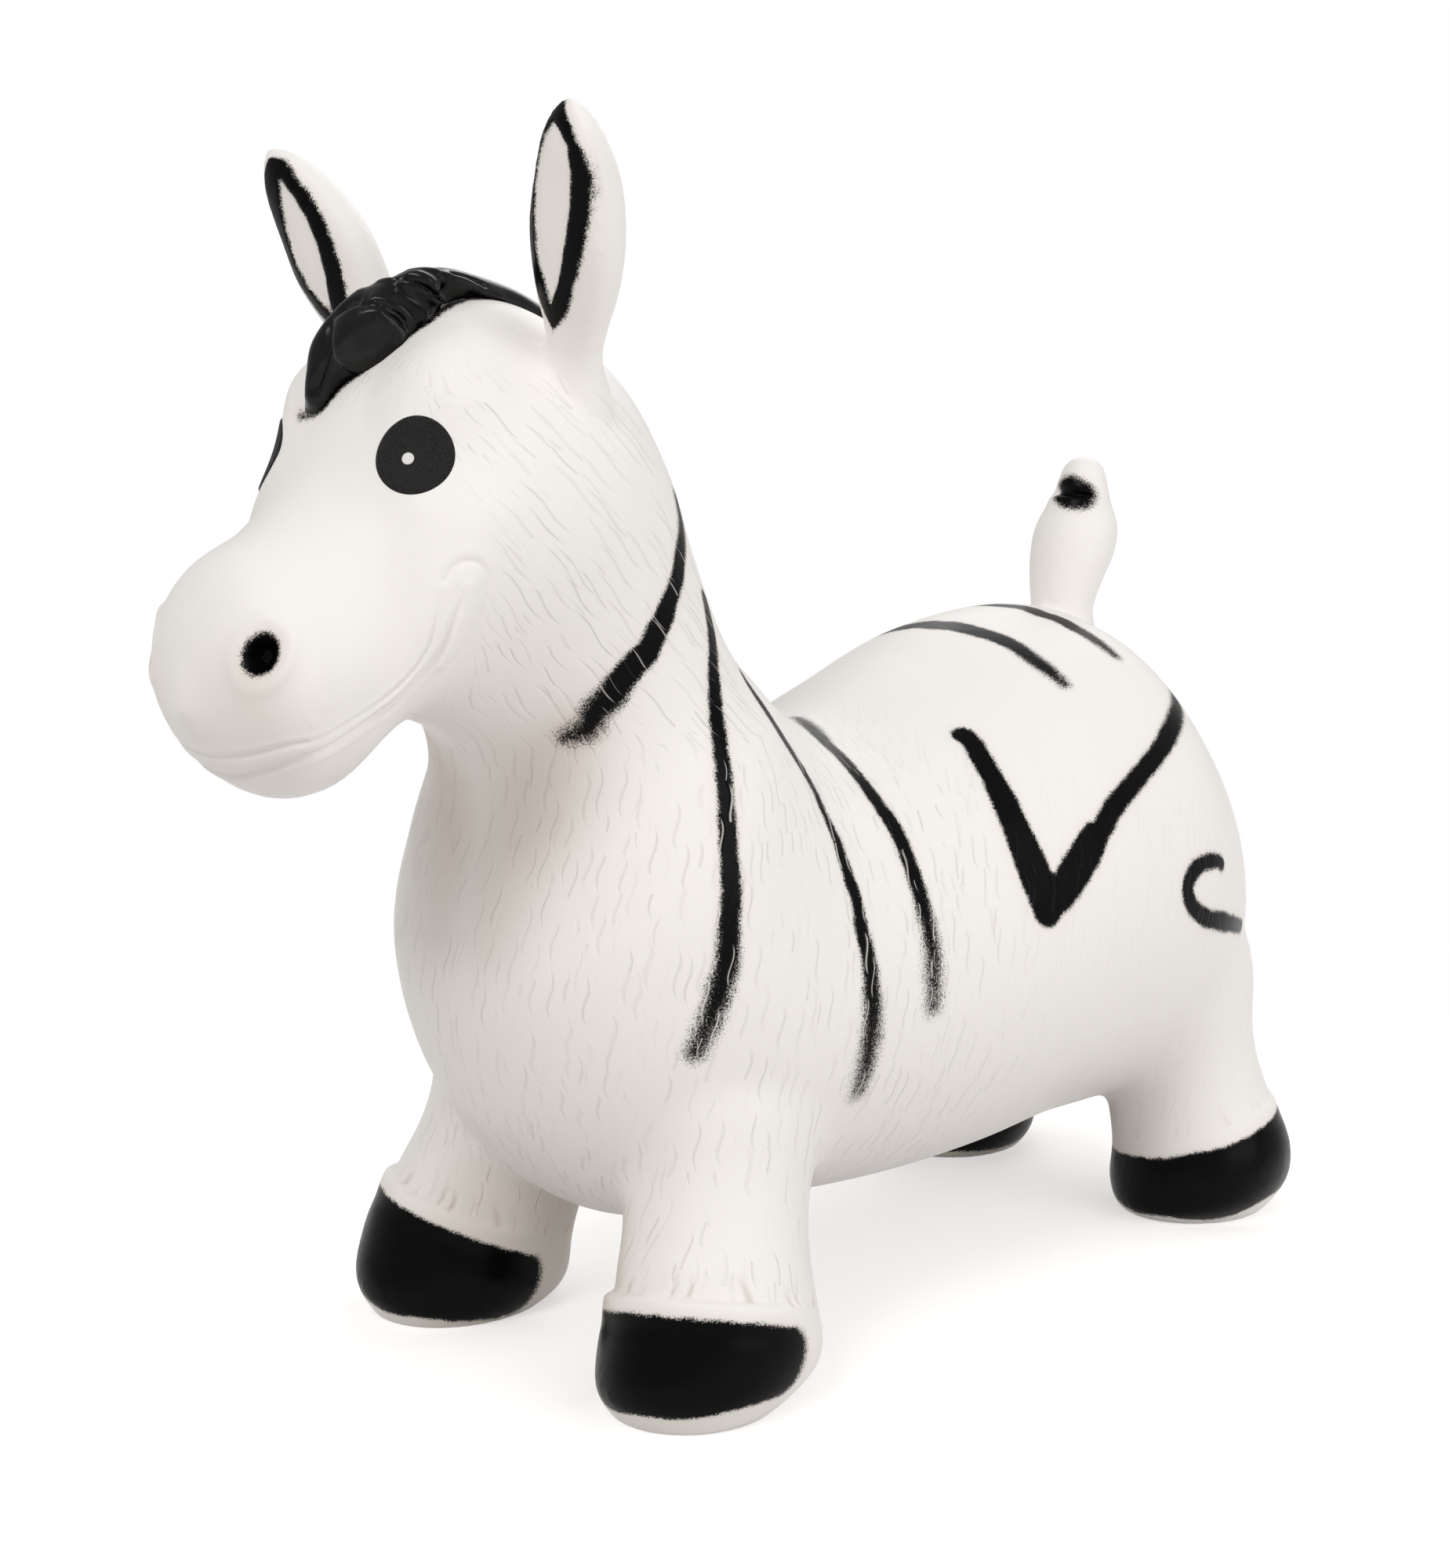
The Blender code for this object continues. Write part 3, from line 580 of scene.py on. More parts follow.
@dataclass(frozen=True)
class Ear:
    """One ear: rings from its root in the head to its tip, with a flat face to the front and a round back.

    Each station gives a share of the length, then its width, the depth of its face and of its back, and its bow
    outward, as shares of the width, the thickness, the thickness and the length. The leaves are told of by leaf().
    """

    side: float
    length: float = 0.106
    width: float = 0.040
    thickness: float = 0.031
    root_length: float = 0.016
    seam: float = 0.14
    sides: int = 96
    steps: int = 12
    stations: tuple = (
        (-0.100, 0.720, 0.900, 0.900, 0.000),
        (0.060, 0.500, 0.680, 0.680, -0.003),
        (0.180, 0.600, 0.620, 0.830, -0.013),
        (0.340, 0.900, 0.655, 1.110, -0.021),
        (0.520, 1.045, 0.620, 1.235, -0.022),
        (0.700, 0.900, 0.490, 1.235, -0.024),
        (0.860, 0.660, 0.400, 0.840, -0.021),
        (0.960, 0.335, 0.185, 0.420, -0.018),
        (1.000, 0.050, 0.040, 0.060, -0.012),
    )
    left_leaf: tuple = (
        (0.170, 3.0, 5.0, -5.0, -3.0),
        (0.225, -1.0, 4.0, -4.0, 2.0),
        (0.260, -5.5, 2.5, -2.0, 6.0),
        (0.305, -9.5, 0.2, 0.2, 8.8),
        (0.345, -12.0, -2.0, 2.2, 10.2),
        (0.390, -14.0, -4.8, 4.4, 11.6),
        (0.470, -16.6, -9.2, 6.2, 14.0),
        (0.575, -19.4, -11.6, 7.8, 16.2),
        (0.680, -20.2, -13.0, 8.6, 16.6),
        (0.775, -18.6, -11.8, 7.8, 15.2),
        (0.860, -15.2, -8.2, 5.4, 11.2),
        (0.900, -12.4, -5.4, 0.5, 7.8),
        (0.925, -10.8, -3.0, -6.0, 5.4),
        (0.976, -5.5, 4.0, -14.0, -0.5),
        (1.000, 3.0, 9.0, -16.0, -3.0),
    )
    right_leaf: tuple = (
        (0.170, 3.0, 5.0, -5.0, -3.0),
        (0.225, 0.0, 4.0, -4.0, 2.0),
        (0.260, -3.0, 3.6, 2.0, 5.5),
        (0.305, -5.6, 3.2, 2.6, 8.5),
        (0.345, -7.8, 2.9, 3.4, 11.0),
        (0.390, -10.0, 1.0, 5.6, 12.5),
        (0.470, -12.6, -3.4, 9.4, 15.5),
        (0.575, -14.2, -6.2, 10.6, 17.5),
        (0.680, -14.0, -6.7, 8.2, 17.5),
        (0.775, -12.4, -5.8, 3.6, 15.5),
        (0.860, -10.2, -3.8, -2.4, 12.0),
        (0.905, -8.6, -1.0, -5.0, 9.0),
        (0.925, -7.6, 1.0, -8.0, 7.0),
        (0.960, -2.0, 4.0, -14.0, 0.5),
        (0.976, 3.0, 6.0, -15.0, -3.0),
        (1.000, 3.0, 9.0, -16.0, -3.0),
    )

    @property
    def leaf(self) -> Points:
        """Rows of a share of the ear's length and where the black leaf and the white almond in it end across it.

        The four places are the leaf's and the almond's inner edges, then the almond's and the leaf's outer
        edges, in millimetres outward.
        """
        return np.array(self.left_leaf if self.side > 0 else self.right_leaf)

    def root(self) -> Points:
        """The middle of the ear's root, inside the head."""
        return np.array((self.side * 0.056, -0.15688, 0.40137))

    def axes(self) -> tuple[Points, Points, Points]:
        """Unit directions along the ear, outward across it, and square to its face.

        Returns:
            the three directions.
        """
        tip = np.array((self.side * 0.09184, -0.18885, 0.49053))
        along = unit(tip - self.root())
        outward = unit(np.cross(along, np.array((0.0, -1.0, 0.0)))) * self.side
        return along, outward, np.cross(outward, along) * self.side

    def local(self, points: Points) -> tuple[Points, Points, Points]:
        """Places along the ear as shares of its length, outward across it and out of its face in metres.

        Args:
            points: the points.

        Returns:
            the three places of each point.
        """
        along, outward, face = self.axes()
        offset = points - self.root()
        share = offset @ along / self.length
        bow = np.interp(share, *smooth_rows(self.stations, 4)[:, [0, 4]].T) * self.length
        return share, offset @ outward - bow, offset @ face

    def rings(self) -> Points:
        """Rings: C(s) + w cos(t) outward + d sin(t) faceward, d being the face's or the back's depth.

        Returns:
            the points of the rings, by ring and by side.
        """
        rows = smooth_rows(self.stations, self.steps)
        along, outward, face = self.axes()
        angle = turns(self.sides)[None, :]
        centre = self.root() + rows[:, :1] * self.length * along + rows[:, 4:5] * self.length * outward
        wide = rows[:, 1, None] * self.width / 2 * np.cos(angle)
        depth = np.where(np.sin(angle) > 0, rows[:, 2, None], rows[:, 3, None]) * self.thickness / 2
        return centre[:, None] + wide[..., None] * outward + (depth * np.sin(angle))[..., None] * face

    def seams(self) -> tuple[Points, Points]:
        """The points on the ear's line at the lower and the upper seam of its flexing root.

        Returns:
            the lower point and the upper one.
        """
        along = self.axes()[0]
        low = self.root() + along * self.seam * self.length
        return low, low + along * self.root_length

    def near(self, points: Points) -> Points:
        """True for points of this ear and its root."""
        share, across, out = self.local(points)
        return (share > 0.06) & (np.hypot(across, out) < 0.030)

    def almond(self, share: Points, across: Points) -> Points:
        """How far inside the white almond each place is, less than 0 outside it."""
        inner, outer = (np.interp(share, self.leaf[:, 0], self.leaf[:, k]) * MM for k in (2, 3))
        return np.minimum(outer - across, across - inner)

    def paint_edge(self, points: Points) -> Points:
        """Distance past the black band's edge, less than 0 in the band between the leaf and the almond.

        Args:
            points: the points.

        Returns:
            one value for each point.
        """
        share, across, out = self.local(points)
        inner, outer = (np.interp(share, self.leaf[:, 0], self.leaf[:, k]) * MM for k in (1, 4))
        band = np.maximum(np.maximum(across - outer, inner - across), self.almond(share, across))
        back = 4.0 * np.maximum(-0.0016 - out, 0.0)
        return np.where(share > 0.12, band + back, 0.05)


@dataclass(frozen=True)
class Tail:
    """The tail: level rings from inside the rump to its tip.

    Each station gives its height and its place backward as shares of the length, and its width and its depth as
    shares of the thickness.
    """

    length: float = 0.0985
    thickness: float = 0.044
    seam: float = 0.29
    root_length: float = 0.020
    sides: int = 96
    steps: int = 12
    stations: tuple = (
        (-0.170, -0.020, 1.100, 1.100),
        (0.040, 0.000, 0.860, 0.880),
        (0.200, -0.025, 0.700, 0.725),
        (0.350, 0.000, 0.800, 0.845),
        (0.500, 0.050, 0.940, 0.980),
        (0.640, 0.085, 0.930, 0.965),
        (0.770, 0.110, 0.700, 0.720),
        (0.860, 0.128, 0.575, 0.580),
        (0.940, 0.135, 0.460, 0.480),
        (0.985, 0.133, 0.270, 0.290),
        (1.000, 0.125, 0.080, 0.080),
    )

    def root(self) -> Points:
        """The tail's root in the rump."""
        return np.array((0.0, 0.22022, 0.27578))

    def rings(self) -> Points:
        """Rings: C(s) + w cos(t) across + d sin(t) back.

        Returns:
            the points of the rings, by ring and by side.
        """
        rows = smooth_rows(self.stations, self.steps)
        angle = turns(self.sides)[None, :]
        rings = np.zeros((len(rows), self.sides, 3)) + self.root()
        rings[..., 0] += rows[:, 2, None] * self.thickness / 2 * np.cos(angle)
        rings[..., 1] += rows[:, 1, None] * self.length + rows[:, 3, None] * self.thickness / 2 * np.sin(angle)
        rings[..., 2] += rows[:, 0, None] * self.length
        return rings

    def seams(self) -> tuple[Points, Points]:
        """The points on the tail's line at the lower and the upper seam of its flexing root."""
        low = self.root() + np.array((0.0, 0.0, self.seam * self.length))
        return low, low + np.array((0.0, 0.0, self.root_length))

    def near(self, points: Points) -> Points:
        """True for points of the tail and its root."""
        offset = points - self.root()
        return (np.hypot(offset[:, 0], offset[:, 1]) < 0.036) & (offset[:, 2] > 0.016)


@dataclass(frozen=True)
class Neck:
    """The seams of the flexing neck."""

    point: tuple = (0.0, -0.1776, 0.25066)
    angle: float = 34.216
    length: float = 0.030

    def normal(self) -> Points:
        """The unit direction square to the seams, towards the head."""
        angle = math.radians(self.angle)
        return np.array((0.0, -math.sin(angle), math.cos(angle)))

    def height(self, points: Points) -> Points:
        """Height of the points over the upper seam, square to it."""
        return (points - np.array(self.point)) @ self.normal()


# ---------------------------------------------------------------- relief and paint


@dataclass(frozen=True)
class Line:
    """A painted or pressed line on the left side of the skin, in millimetres."""

    points: tuple
    widths: tuple
    fade: tuple = (0.0, 0.0)
    reach: float = 0.02
    pressed: bool = False

    def laid(self, line: Points, skin: Points) -> Points:
        """The line moved onto the skin, by the mean over five rows of the way to the nearest skin point.

        Args:
            line: rows of the line, in metres.
            skin: the skin's points near it.

        Returns:
            The moved rows.
        """
        nearest = np.array([np.argmin(((skin - row) ** 2).sum(1)) for row in line])
        away = np.pad(skin[nearest] - line, ((2, 2), (0, 0)), mode="edge")
        return line + sum(away[k : k + len(line)] for k in range(5)) / 5

    def painted(self, points: Points) -> tuple[Points, Points]:
        """Distance past the edge of the line's paint, and how wide that edge fades in millimetres.

        Args:
            points: the points.

        Returns:
            both for each point.
        """
        distance, along, half = self.measure(points)
        start, end = self.fade
        wide = 1.5 + 7 * start * smoothstep(0.30, 0.0, along) + 7 * end * smoothstep(0.62, 1.0, along)
        return distance - half, wide

    def measure(self, points: Points) -> tuple[Points, Points, Points]:
        """Distance to the line, share along it, and its half width there; far points get the distance FAR.

        Args:
            points: places on the skin.

        Returns:
            Three arrays, in metres, as a share, and in metres.
        """
        line = smooth_rows(self.points, 4) * MM
        near = np.all((points > line.min(0) - self.reach) & (points < line.max(0) + self.reach), axis=1)
        distance, along = np.full(len(points), FAR), np.zeros(len(points))
        if self.pressed and near.any():
            line = self.laid(line, points[near])
        distance[near], along[near] = line_distance(points[near], line)
        half = np.interp(along, np.linspace(0, 1, len(self.widths)), self.widths) * MM / 2
        return distance, along, half


STRIPES = (
    Line(
        (
            (55, -105, 357), (58, -106, 349), (62, -109, 342), (66, -114, 334), (68, -117, 327),
            (70, -122, 320), (70, -126, 313), (70, -130, 307), (69, -134, 300), (67, -139, 295),
            (64, -143, 289), (61, -146, 283), (57, -149, 278), (53, -150, 271), (46, -155, 267),
        ),
        (7, 8, 8.5, 9.5, 9.2, 9, 10, 10.2, 10.6, 11, 12, 12.4, 11, 9, 5.5),
        (0.3, 0.5),
    ),
    Line(
        (
            (58, -93, 318), (63, -94, 306), (68, -98, 293), (72, -101, 281), (76, -103, 268), (80, -105, 256),
            (84, -107, 244), (88, -110, 232), (91, -112, 220), (93, -113, 207), (94, -115, 195),
            (94, -116, 182), (93, -119, 170), (90, -122, 158), (87, -126, 146),
        ),
        (8, 8, 7.5, 7.7, 7.7, 7.3, 7.5, 7.7, 7.7, 9, 9.3, 10.5, 10.4, 9.2, 7),
        (0.0, 0.5),
    ),
    Line(
        (
            (55, -69, 286), (61, -65, 276), (66, -60, 265), (69, -53, 253), (73, -48, 242), (79, -46, 231),
            (84, -44, 219), (90, -44, 207), (95, -43, 195), (99, -44, 183), (102, -43, 170), (104, -43, 158),
            (104, -43, 144), (103, -44, 131), (99, -45, 117),
        ),
        (5, 5.6, 6, 5.6, 5, 5, 6.1, 7.2, 6.8, 7.7, 8.2, 9.4, 9.4, 8.9, 6),
        (0.0, 0.7),
    ),
    Line(
        (
            (12, 10, 259), (38, -3, 253), (51, -4, 246), (63, -5, 237), (73, -5, 228), (82, -4, 218),
            (89, -5, 207), (96, -6, 196), (100, -6, 185), (104, -6, 173), (106, -7, 161), (107, -8, 148),
        ),
        (4, 9.5, 9.7, 8, 7.7, 8.3, 8.6, 8.6, 8.4, 8.3, 8, 6),
        (0.4, 0.7),
    ),
    Line(
        (
            (-40, 122, 286), (-26, 121, 290), (-13, 121, 292), (-1, 121, 293), (10, 122, 293), (22, 122, 292),
            (32, 124, 289), (43, 125, 286), (52, 125, 281), (61, 126, 276), (69, 127, 270),
        ),
        (9, 10.5, 12, 12.3, 11, 10.5, 10, 9.7, 9.3, 9, 6),
        (0.0, 0.3),
    ),
    Line(
        (
            (-24, 170, 297), (-12, 168, 300), (1, 166, 301), (14, 169, 300), (26, 167, 298), (33, 170, 295),
            (42, 170, 292), (50, 172, 288), (57, 173, 284), (64, 174, 280),
        ),
        (8, 9, 9, 11, 11, 11, 11, 9.3, 8.7, 5.7),
        (0.3, 0.3),
    ),
    Line(
        (
            (64, 62, 251), (68, 63, 248), (76, 61, 240), (85, 60, 230), (94, 59, 217), (100, 59, 206),
            (106, 60, 196), (109, 62, 186), (112, 63, 180),
        ),
        (10.5, 11, 11.9, 13, 14.4, 15.7, 17.6, 19, 17.5),
        (0.0, 0.0),
    ),
    Line(
        (
            (112, 63, 180), (111, 74, 186), (111, 83, 193), (110, 92, 200), (109, 99, 206),
        ),
        (15.6, 16.5, 17, 16.6, 14.5),
        (0.0, 0.0),
    ),
    Line(
        (
            (111, 83, 193), (109, 101, 206), (107, 115, 217), (106, 131, 226), (103, 147, 233),
            (101, 161, 240), (94, 179, 248), (85, 196, 255), (72, 213, 261),
        ),
        (11.3, 11.5, 10.6, 9.6, 9.2, 10.2, 10.4, 9, 5.4),
        (0.0, 0.3),
    ),
    Line(
        (
            (118, 188, 184), (118, 185, 186), (118, 173, 187), (119, 162, 184), (120, 157, 177),
            (120, 161, 168), (119, 173, 161), (118, 188, 157), (113, 207, 152), (105, 227, 147),
        ),
        (6.6, 7.9, 9, 8.7, 8.7, 9.2, 9.7, 8.3, 7.4, 6.4),
        (0.0, 0.0),
    ),
)

LIP_UPPER = Line(
    (
        (-3, -283, 267), (20, -281, 269), (38, -274, 274), (45, -258, 279), (47.5, -245, 285.5),
        (52, -235.5, 295), (57, -229, 306), (60, -227, 317), (62.5, -224.5, 329),
    ),
    (3.0, 2.8, 2.4, 2.0, 1.7, 1.5, 1.4, 1.3, 1.2),
    pressed=True,
)
LIP_LOWER = Line(
    (
        (-4, -275, 259), (20, -275, 263), (37, -269, 269), (43, -256, 273.5), (46.5, -241.5, 282.5),
        (52, -231.5, 293), (57, -224, 304), (61, -221, 315), (64.5, -217, 328),
    ),
    (4.0, 3.8, 3.4, 3.2, 3.0, 2.8, 2.6, 2.4, 2.0),
    pressed=True,
)
CHEEK_FOLD = Line(
    (
        (62.5, -225, 330), (64, -221.5, 334.8), (66, -216, 336.6), (67, -211, 334), (66.3, -208.6, 328),
        (64, -210, 319), (60.5, -212.5, 310), (55, -215.8, 300.5), (50, -220, 292),
    ),
    (3.0, 3.4, 3.6, 3.6, 3.4, 3.2, 2.8, 2.4, 2.0),
    pressed=True,
)
CHEEK_PAD = Line(
    (
        (64, -216, 328), (62, -215, 319), (58, -218, 309), (54, -222, 300),
    ),
    (7.0, 8.0, 7.5, 5.0),
)
GROOVES = ((LIP_UPPER, 0.0008), (LIP_LOWER, 0.0016), (CHEEK_FOLD, 0.0006))  # each with its depth in metres
# Warm tint down the throat to the chest's left edge: overspray under the neck stripe, and painted shade where the
# throat turns under.
THROAT_OVERSPRAY_AND_SHADE = Line(
    ((50, -152, 270), (40, -155, 256), (30, -159, 241), (22, -163, 226), (18, -167, 206), (16, -170, 186)),
    (20, 32, 42, 44, 40, 30),
    reach=0.07,
)
EYE_PLACE = (0.0438, -0.2230, 0.3734)
RIGHT_EYE_PLACE = (-0.0456, -0.2198, 0.3734)
SWELLINGS = {
    "brow": ((0.0430, -0.2130, 0.4040), 0.0082, 0.036),
    "crown": ((0.0, -0.1650, 0.4300), 0.0035, 0.055),
    "before the eye": ((0.0380, -0.2330, 0.3745), 0.0012, 0.026),
    "behind the eye": ((0.0530, -0.2080, 0.3730), -0.0034, 0.028),
}
NOSTRIL_PLACE = (0.0345, -0.2835, 0.3055)
NOSTRIL_FACING = (0.62, -0.76, 0.18)
NOSTRIL_TILT = 30.0
VALVE_PLACE = (0.0, 0.09472)
VALVE_HOLE = 0.0102
BELLY_TOP = 0.08
MUZZLE_SHADE = (0.0330, -0.2880, 0.2850)
TAIL_CREASE = Line(((-10, 222, 357), (-1, 219, 357), (8, 220, 356), (13, 226, 355)), (5.0, 4.6, 3.6, 2.0))


@dataclass
class PaintLayers:
    """The nearest painted edge at each point, in metres, and how wide it fades, in millimetres."""

    edge: Points
    soft: Points

    def lay(self, edge: Points, soft: Points | float) -> None:
        """Takes a layer's edge, and how wide it fades, wherever it is the nearest."""
        self.soft = np.where(edge < self.edge, soft, self.soft)
        self.edge = np.minimum(self.edge, edge)


@dataclass(frozen=True)
class Mane:
    """The moulded forelock: a lock that runs over the crown and curls round a bulb on the forehead.

    Each station gives its left foot, its top and its right foot on the head in millimetres, and each stroke its
    lift and half width in units of bold, and its line in millimetres.
    """

    sides: int = 240
    steps: int = 18
    square: float = 0.85
    stations: tuple = (
        (4, -112, 411, 0, -112, 416, -4, -112, 411),
        (8, -124, 420, 0, -123, 428.5, -10, -124, 419),
        (12, -142, 428.5, 0, -142, 436.5, -17, -142, 427),
        (13, -163, 431.5, 0, -163, 441, -23, -163, 427),
        (15, -182, 429, 1, -182, 442.8, -27, -181, 421),
        (17, -194, 423, 0, -199, 439.2, -31, -195, 410.5),
        (10, -205, 413, -4, -213, 431.5, -33, -206, 401),
        (0, -212, 405, -11, -221, 418.3, -33, -213, 396),
        (-8, -216, 399, -14, -224, 405, -31, -215, 393),
        (-13, -221, 391, -18, -224, 396, -27, -219, 390),
        (-21, -222, 388, -22, -223, 389, -25, -222, 388),
    )
    strokes: tuple = (
        (1.5, 3.4, ((0, -209, 434), (-9, -216, 425), (-16, -221, 415), (-17, -224, 403), (-18, -223, 391))),
        (
            -1.5, 1.5,
            ((1, -215, 429), (-4, -216, 427), (-9, -217, 423), (-8, -221, 417), (-9, -223, 408), (-15, -224, 396)),
        ),
        (
            1.2, 2.4,
            (
                (5, -213, 430), (10, -211, 429), (13, -208, 428), (15, -205, 426),
                (15, -202, 422), (13, -202, 417), (10, -205, 413),
            ),
        ),
        (
            -1.5, 1.1,
            (
                (-6, -218, 425), (0, -215, 428), (5, -214, 428), (10, -211, 428),
                (12, -209, 426), (14, -206, 424), (14, -203, 421),
            ),
        ),
        (-1.6, 3.2, ((11, -206, 434), (15, -203, 432), (17, -200, 430), (18, -196, 427), (17, -193, 425))),
        (
            1.1, 1.2,
            (
                (1, -206, 436), (6, -205, 437), (12, -203, 437), (16, -201, 435),
                (18, -197, 433), (19, -192, 430), (17, -187, 430),
            ),
        ),
        (
            -1.8, 0.9,
            ((9, -204, 438), (13, -201, 438), (16, -199, 437), (18, -196, 435), (19, -192, 433), (18, -188, 431)),
        ),
        (0.9, 1.6, ((11, -200, 439), (13, -198, 440), (17, -195, 439), (18, -192, 436))),
        (-3.2, 4.2, ((17, -188, 434), (17, -184, 434))),
        (-1.2, 5.0, ((18, -188, 430), (15, -178, 431), (13, -168, 432))),
        (
            1.0, 1.8,
            ((7, -199, 440), (13, -192, 441), (16, -184, 440), (16, -175, 438), (14, -166, 435), (13, -155, 433)),
        ),
        (-1.1, 0.8, ((15, -183, 441), (15, -177, 441), (14, -171, 439), (14, -165, 437))),
        (-1.4, 1.6, ((-14, -206, 434), (-20, -196, 433), (-24, -184, 430), (-22, -168, 432), (-15, -148, 431))),
        (1.0, 2.4, ((-12, -203, 437), (-16, -192, 438), (-18, -180, 437), (-15, -162, 437))),
    )
    bulb: tuple = (4.0, -213.0, 416.0)
    bulb_reach: float = 0.0142
    bulb_lift: float = 0.0034
    bold: float = 0.00125

    def skin_edge(self, points: Points) -> Points:
        """Distance of the skin past the black paint that runs out under the lock's border.

        Args:
            points: the points.

        Returns:
            one value for each point.
        """
        rows = np.array(self.stations)[1:]
        border = np.vstack((rows[:, :3], rows[::-1, 6:]))
        return Line(tuple(map(tuple, border)), (1.0, 1.0)).measure(points)[0] - 0.0022

    def rings(self) -> Points:
        """Rings M + W c + U s through both feet and the top, with c and s the cosine and sine to the power 0.85.

        M lies between the feet, W goes to the left foot and U to the top; U is 0.4 as long inside the head.

        Returns:
            the points of the rings, by ring and by side.
        """
        rows = smooth_rows(self.stations, self.steps)[:, None] * MM
        left, top, right = rows[..., :3], rows[..., 3:6], rows[..., 6:]
        middle = (left + right) / 2
        angle = turns(self.sides)[None, :, None]
        wide, high = (np.sign(turn) * np.abs(turn) ** self.square for turn in (np.cos(angle), np.sin(angle)))
        rise = np.where(high > 0, high, 0.4 * high)
        return middle + (left - right) / 2 * wide + (top - middle) * rise

    def make(self) -> bpy.types.Object:
        """The lock: P + N (bulb + the sum of the strokes' lifts e^-(d/w)^2), N being the normal.

        Returns:
            The object, on the head.
        """
        base = loft(self.rings())
        points = base.points
        reach = np.linalg.norm(points - np.array(self.bulb) * MM, axis=1) / self.bulb_reach
        lift = self.bulb_lift * np.sqrt(np.clip(1 - reach**2, 0.0, 1.0))
        for amount, half, line in self.strokes:
            distance, along, _ = Line(line, (1.0, 1.0)).measure(points)
            ends = smoothstep(0.0, 0.12, along + 0.05) * smoothstep(1.0, 0.85, along - 0.05)
            lift += amount * self.bold * ends * np.exp(-((distance / (half * self.bold)) ** 2))
        shape = Surface(points + lift[:, None] * base.normals(), base.triangles)
        mesh = mesh_from("forelock_lock", shape)
        mesh.materials.append(GlossPaint().material())
        made = linked("forelock_lock", mesh)
        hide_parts("forelock")
        log.info("forelock_lock: %d triangles", len(shape.triangles))
        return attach(made, "head")


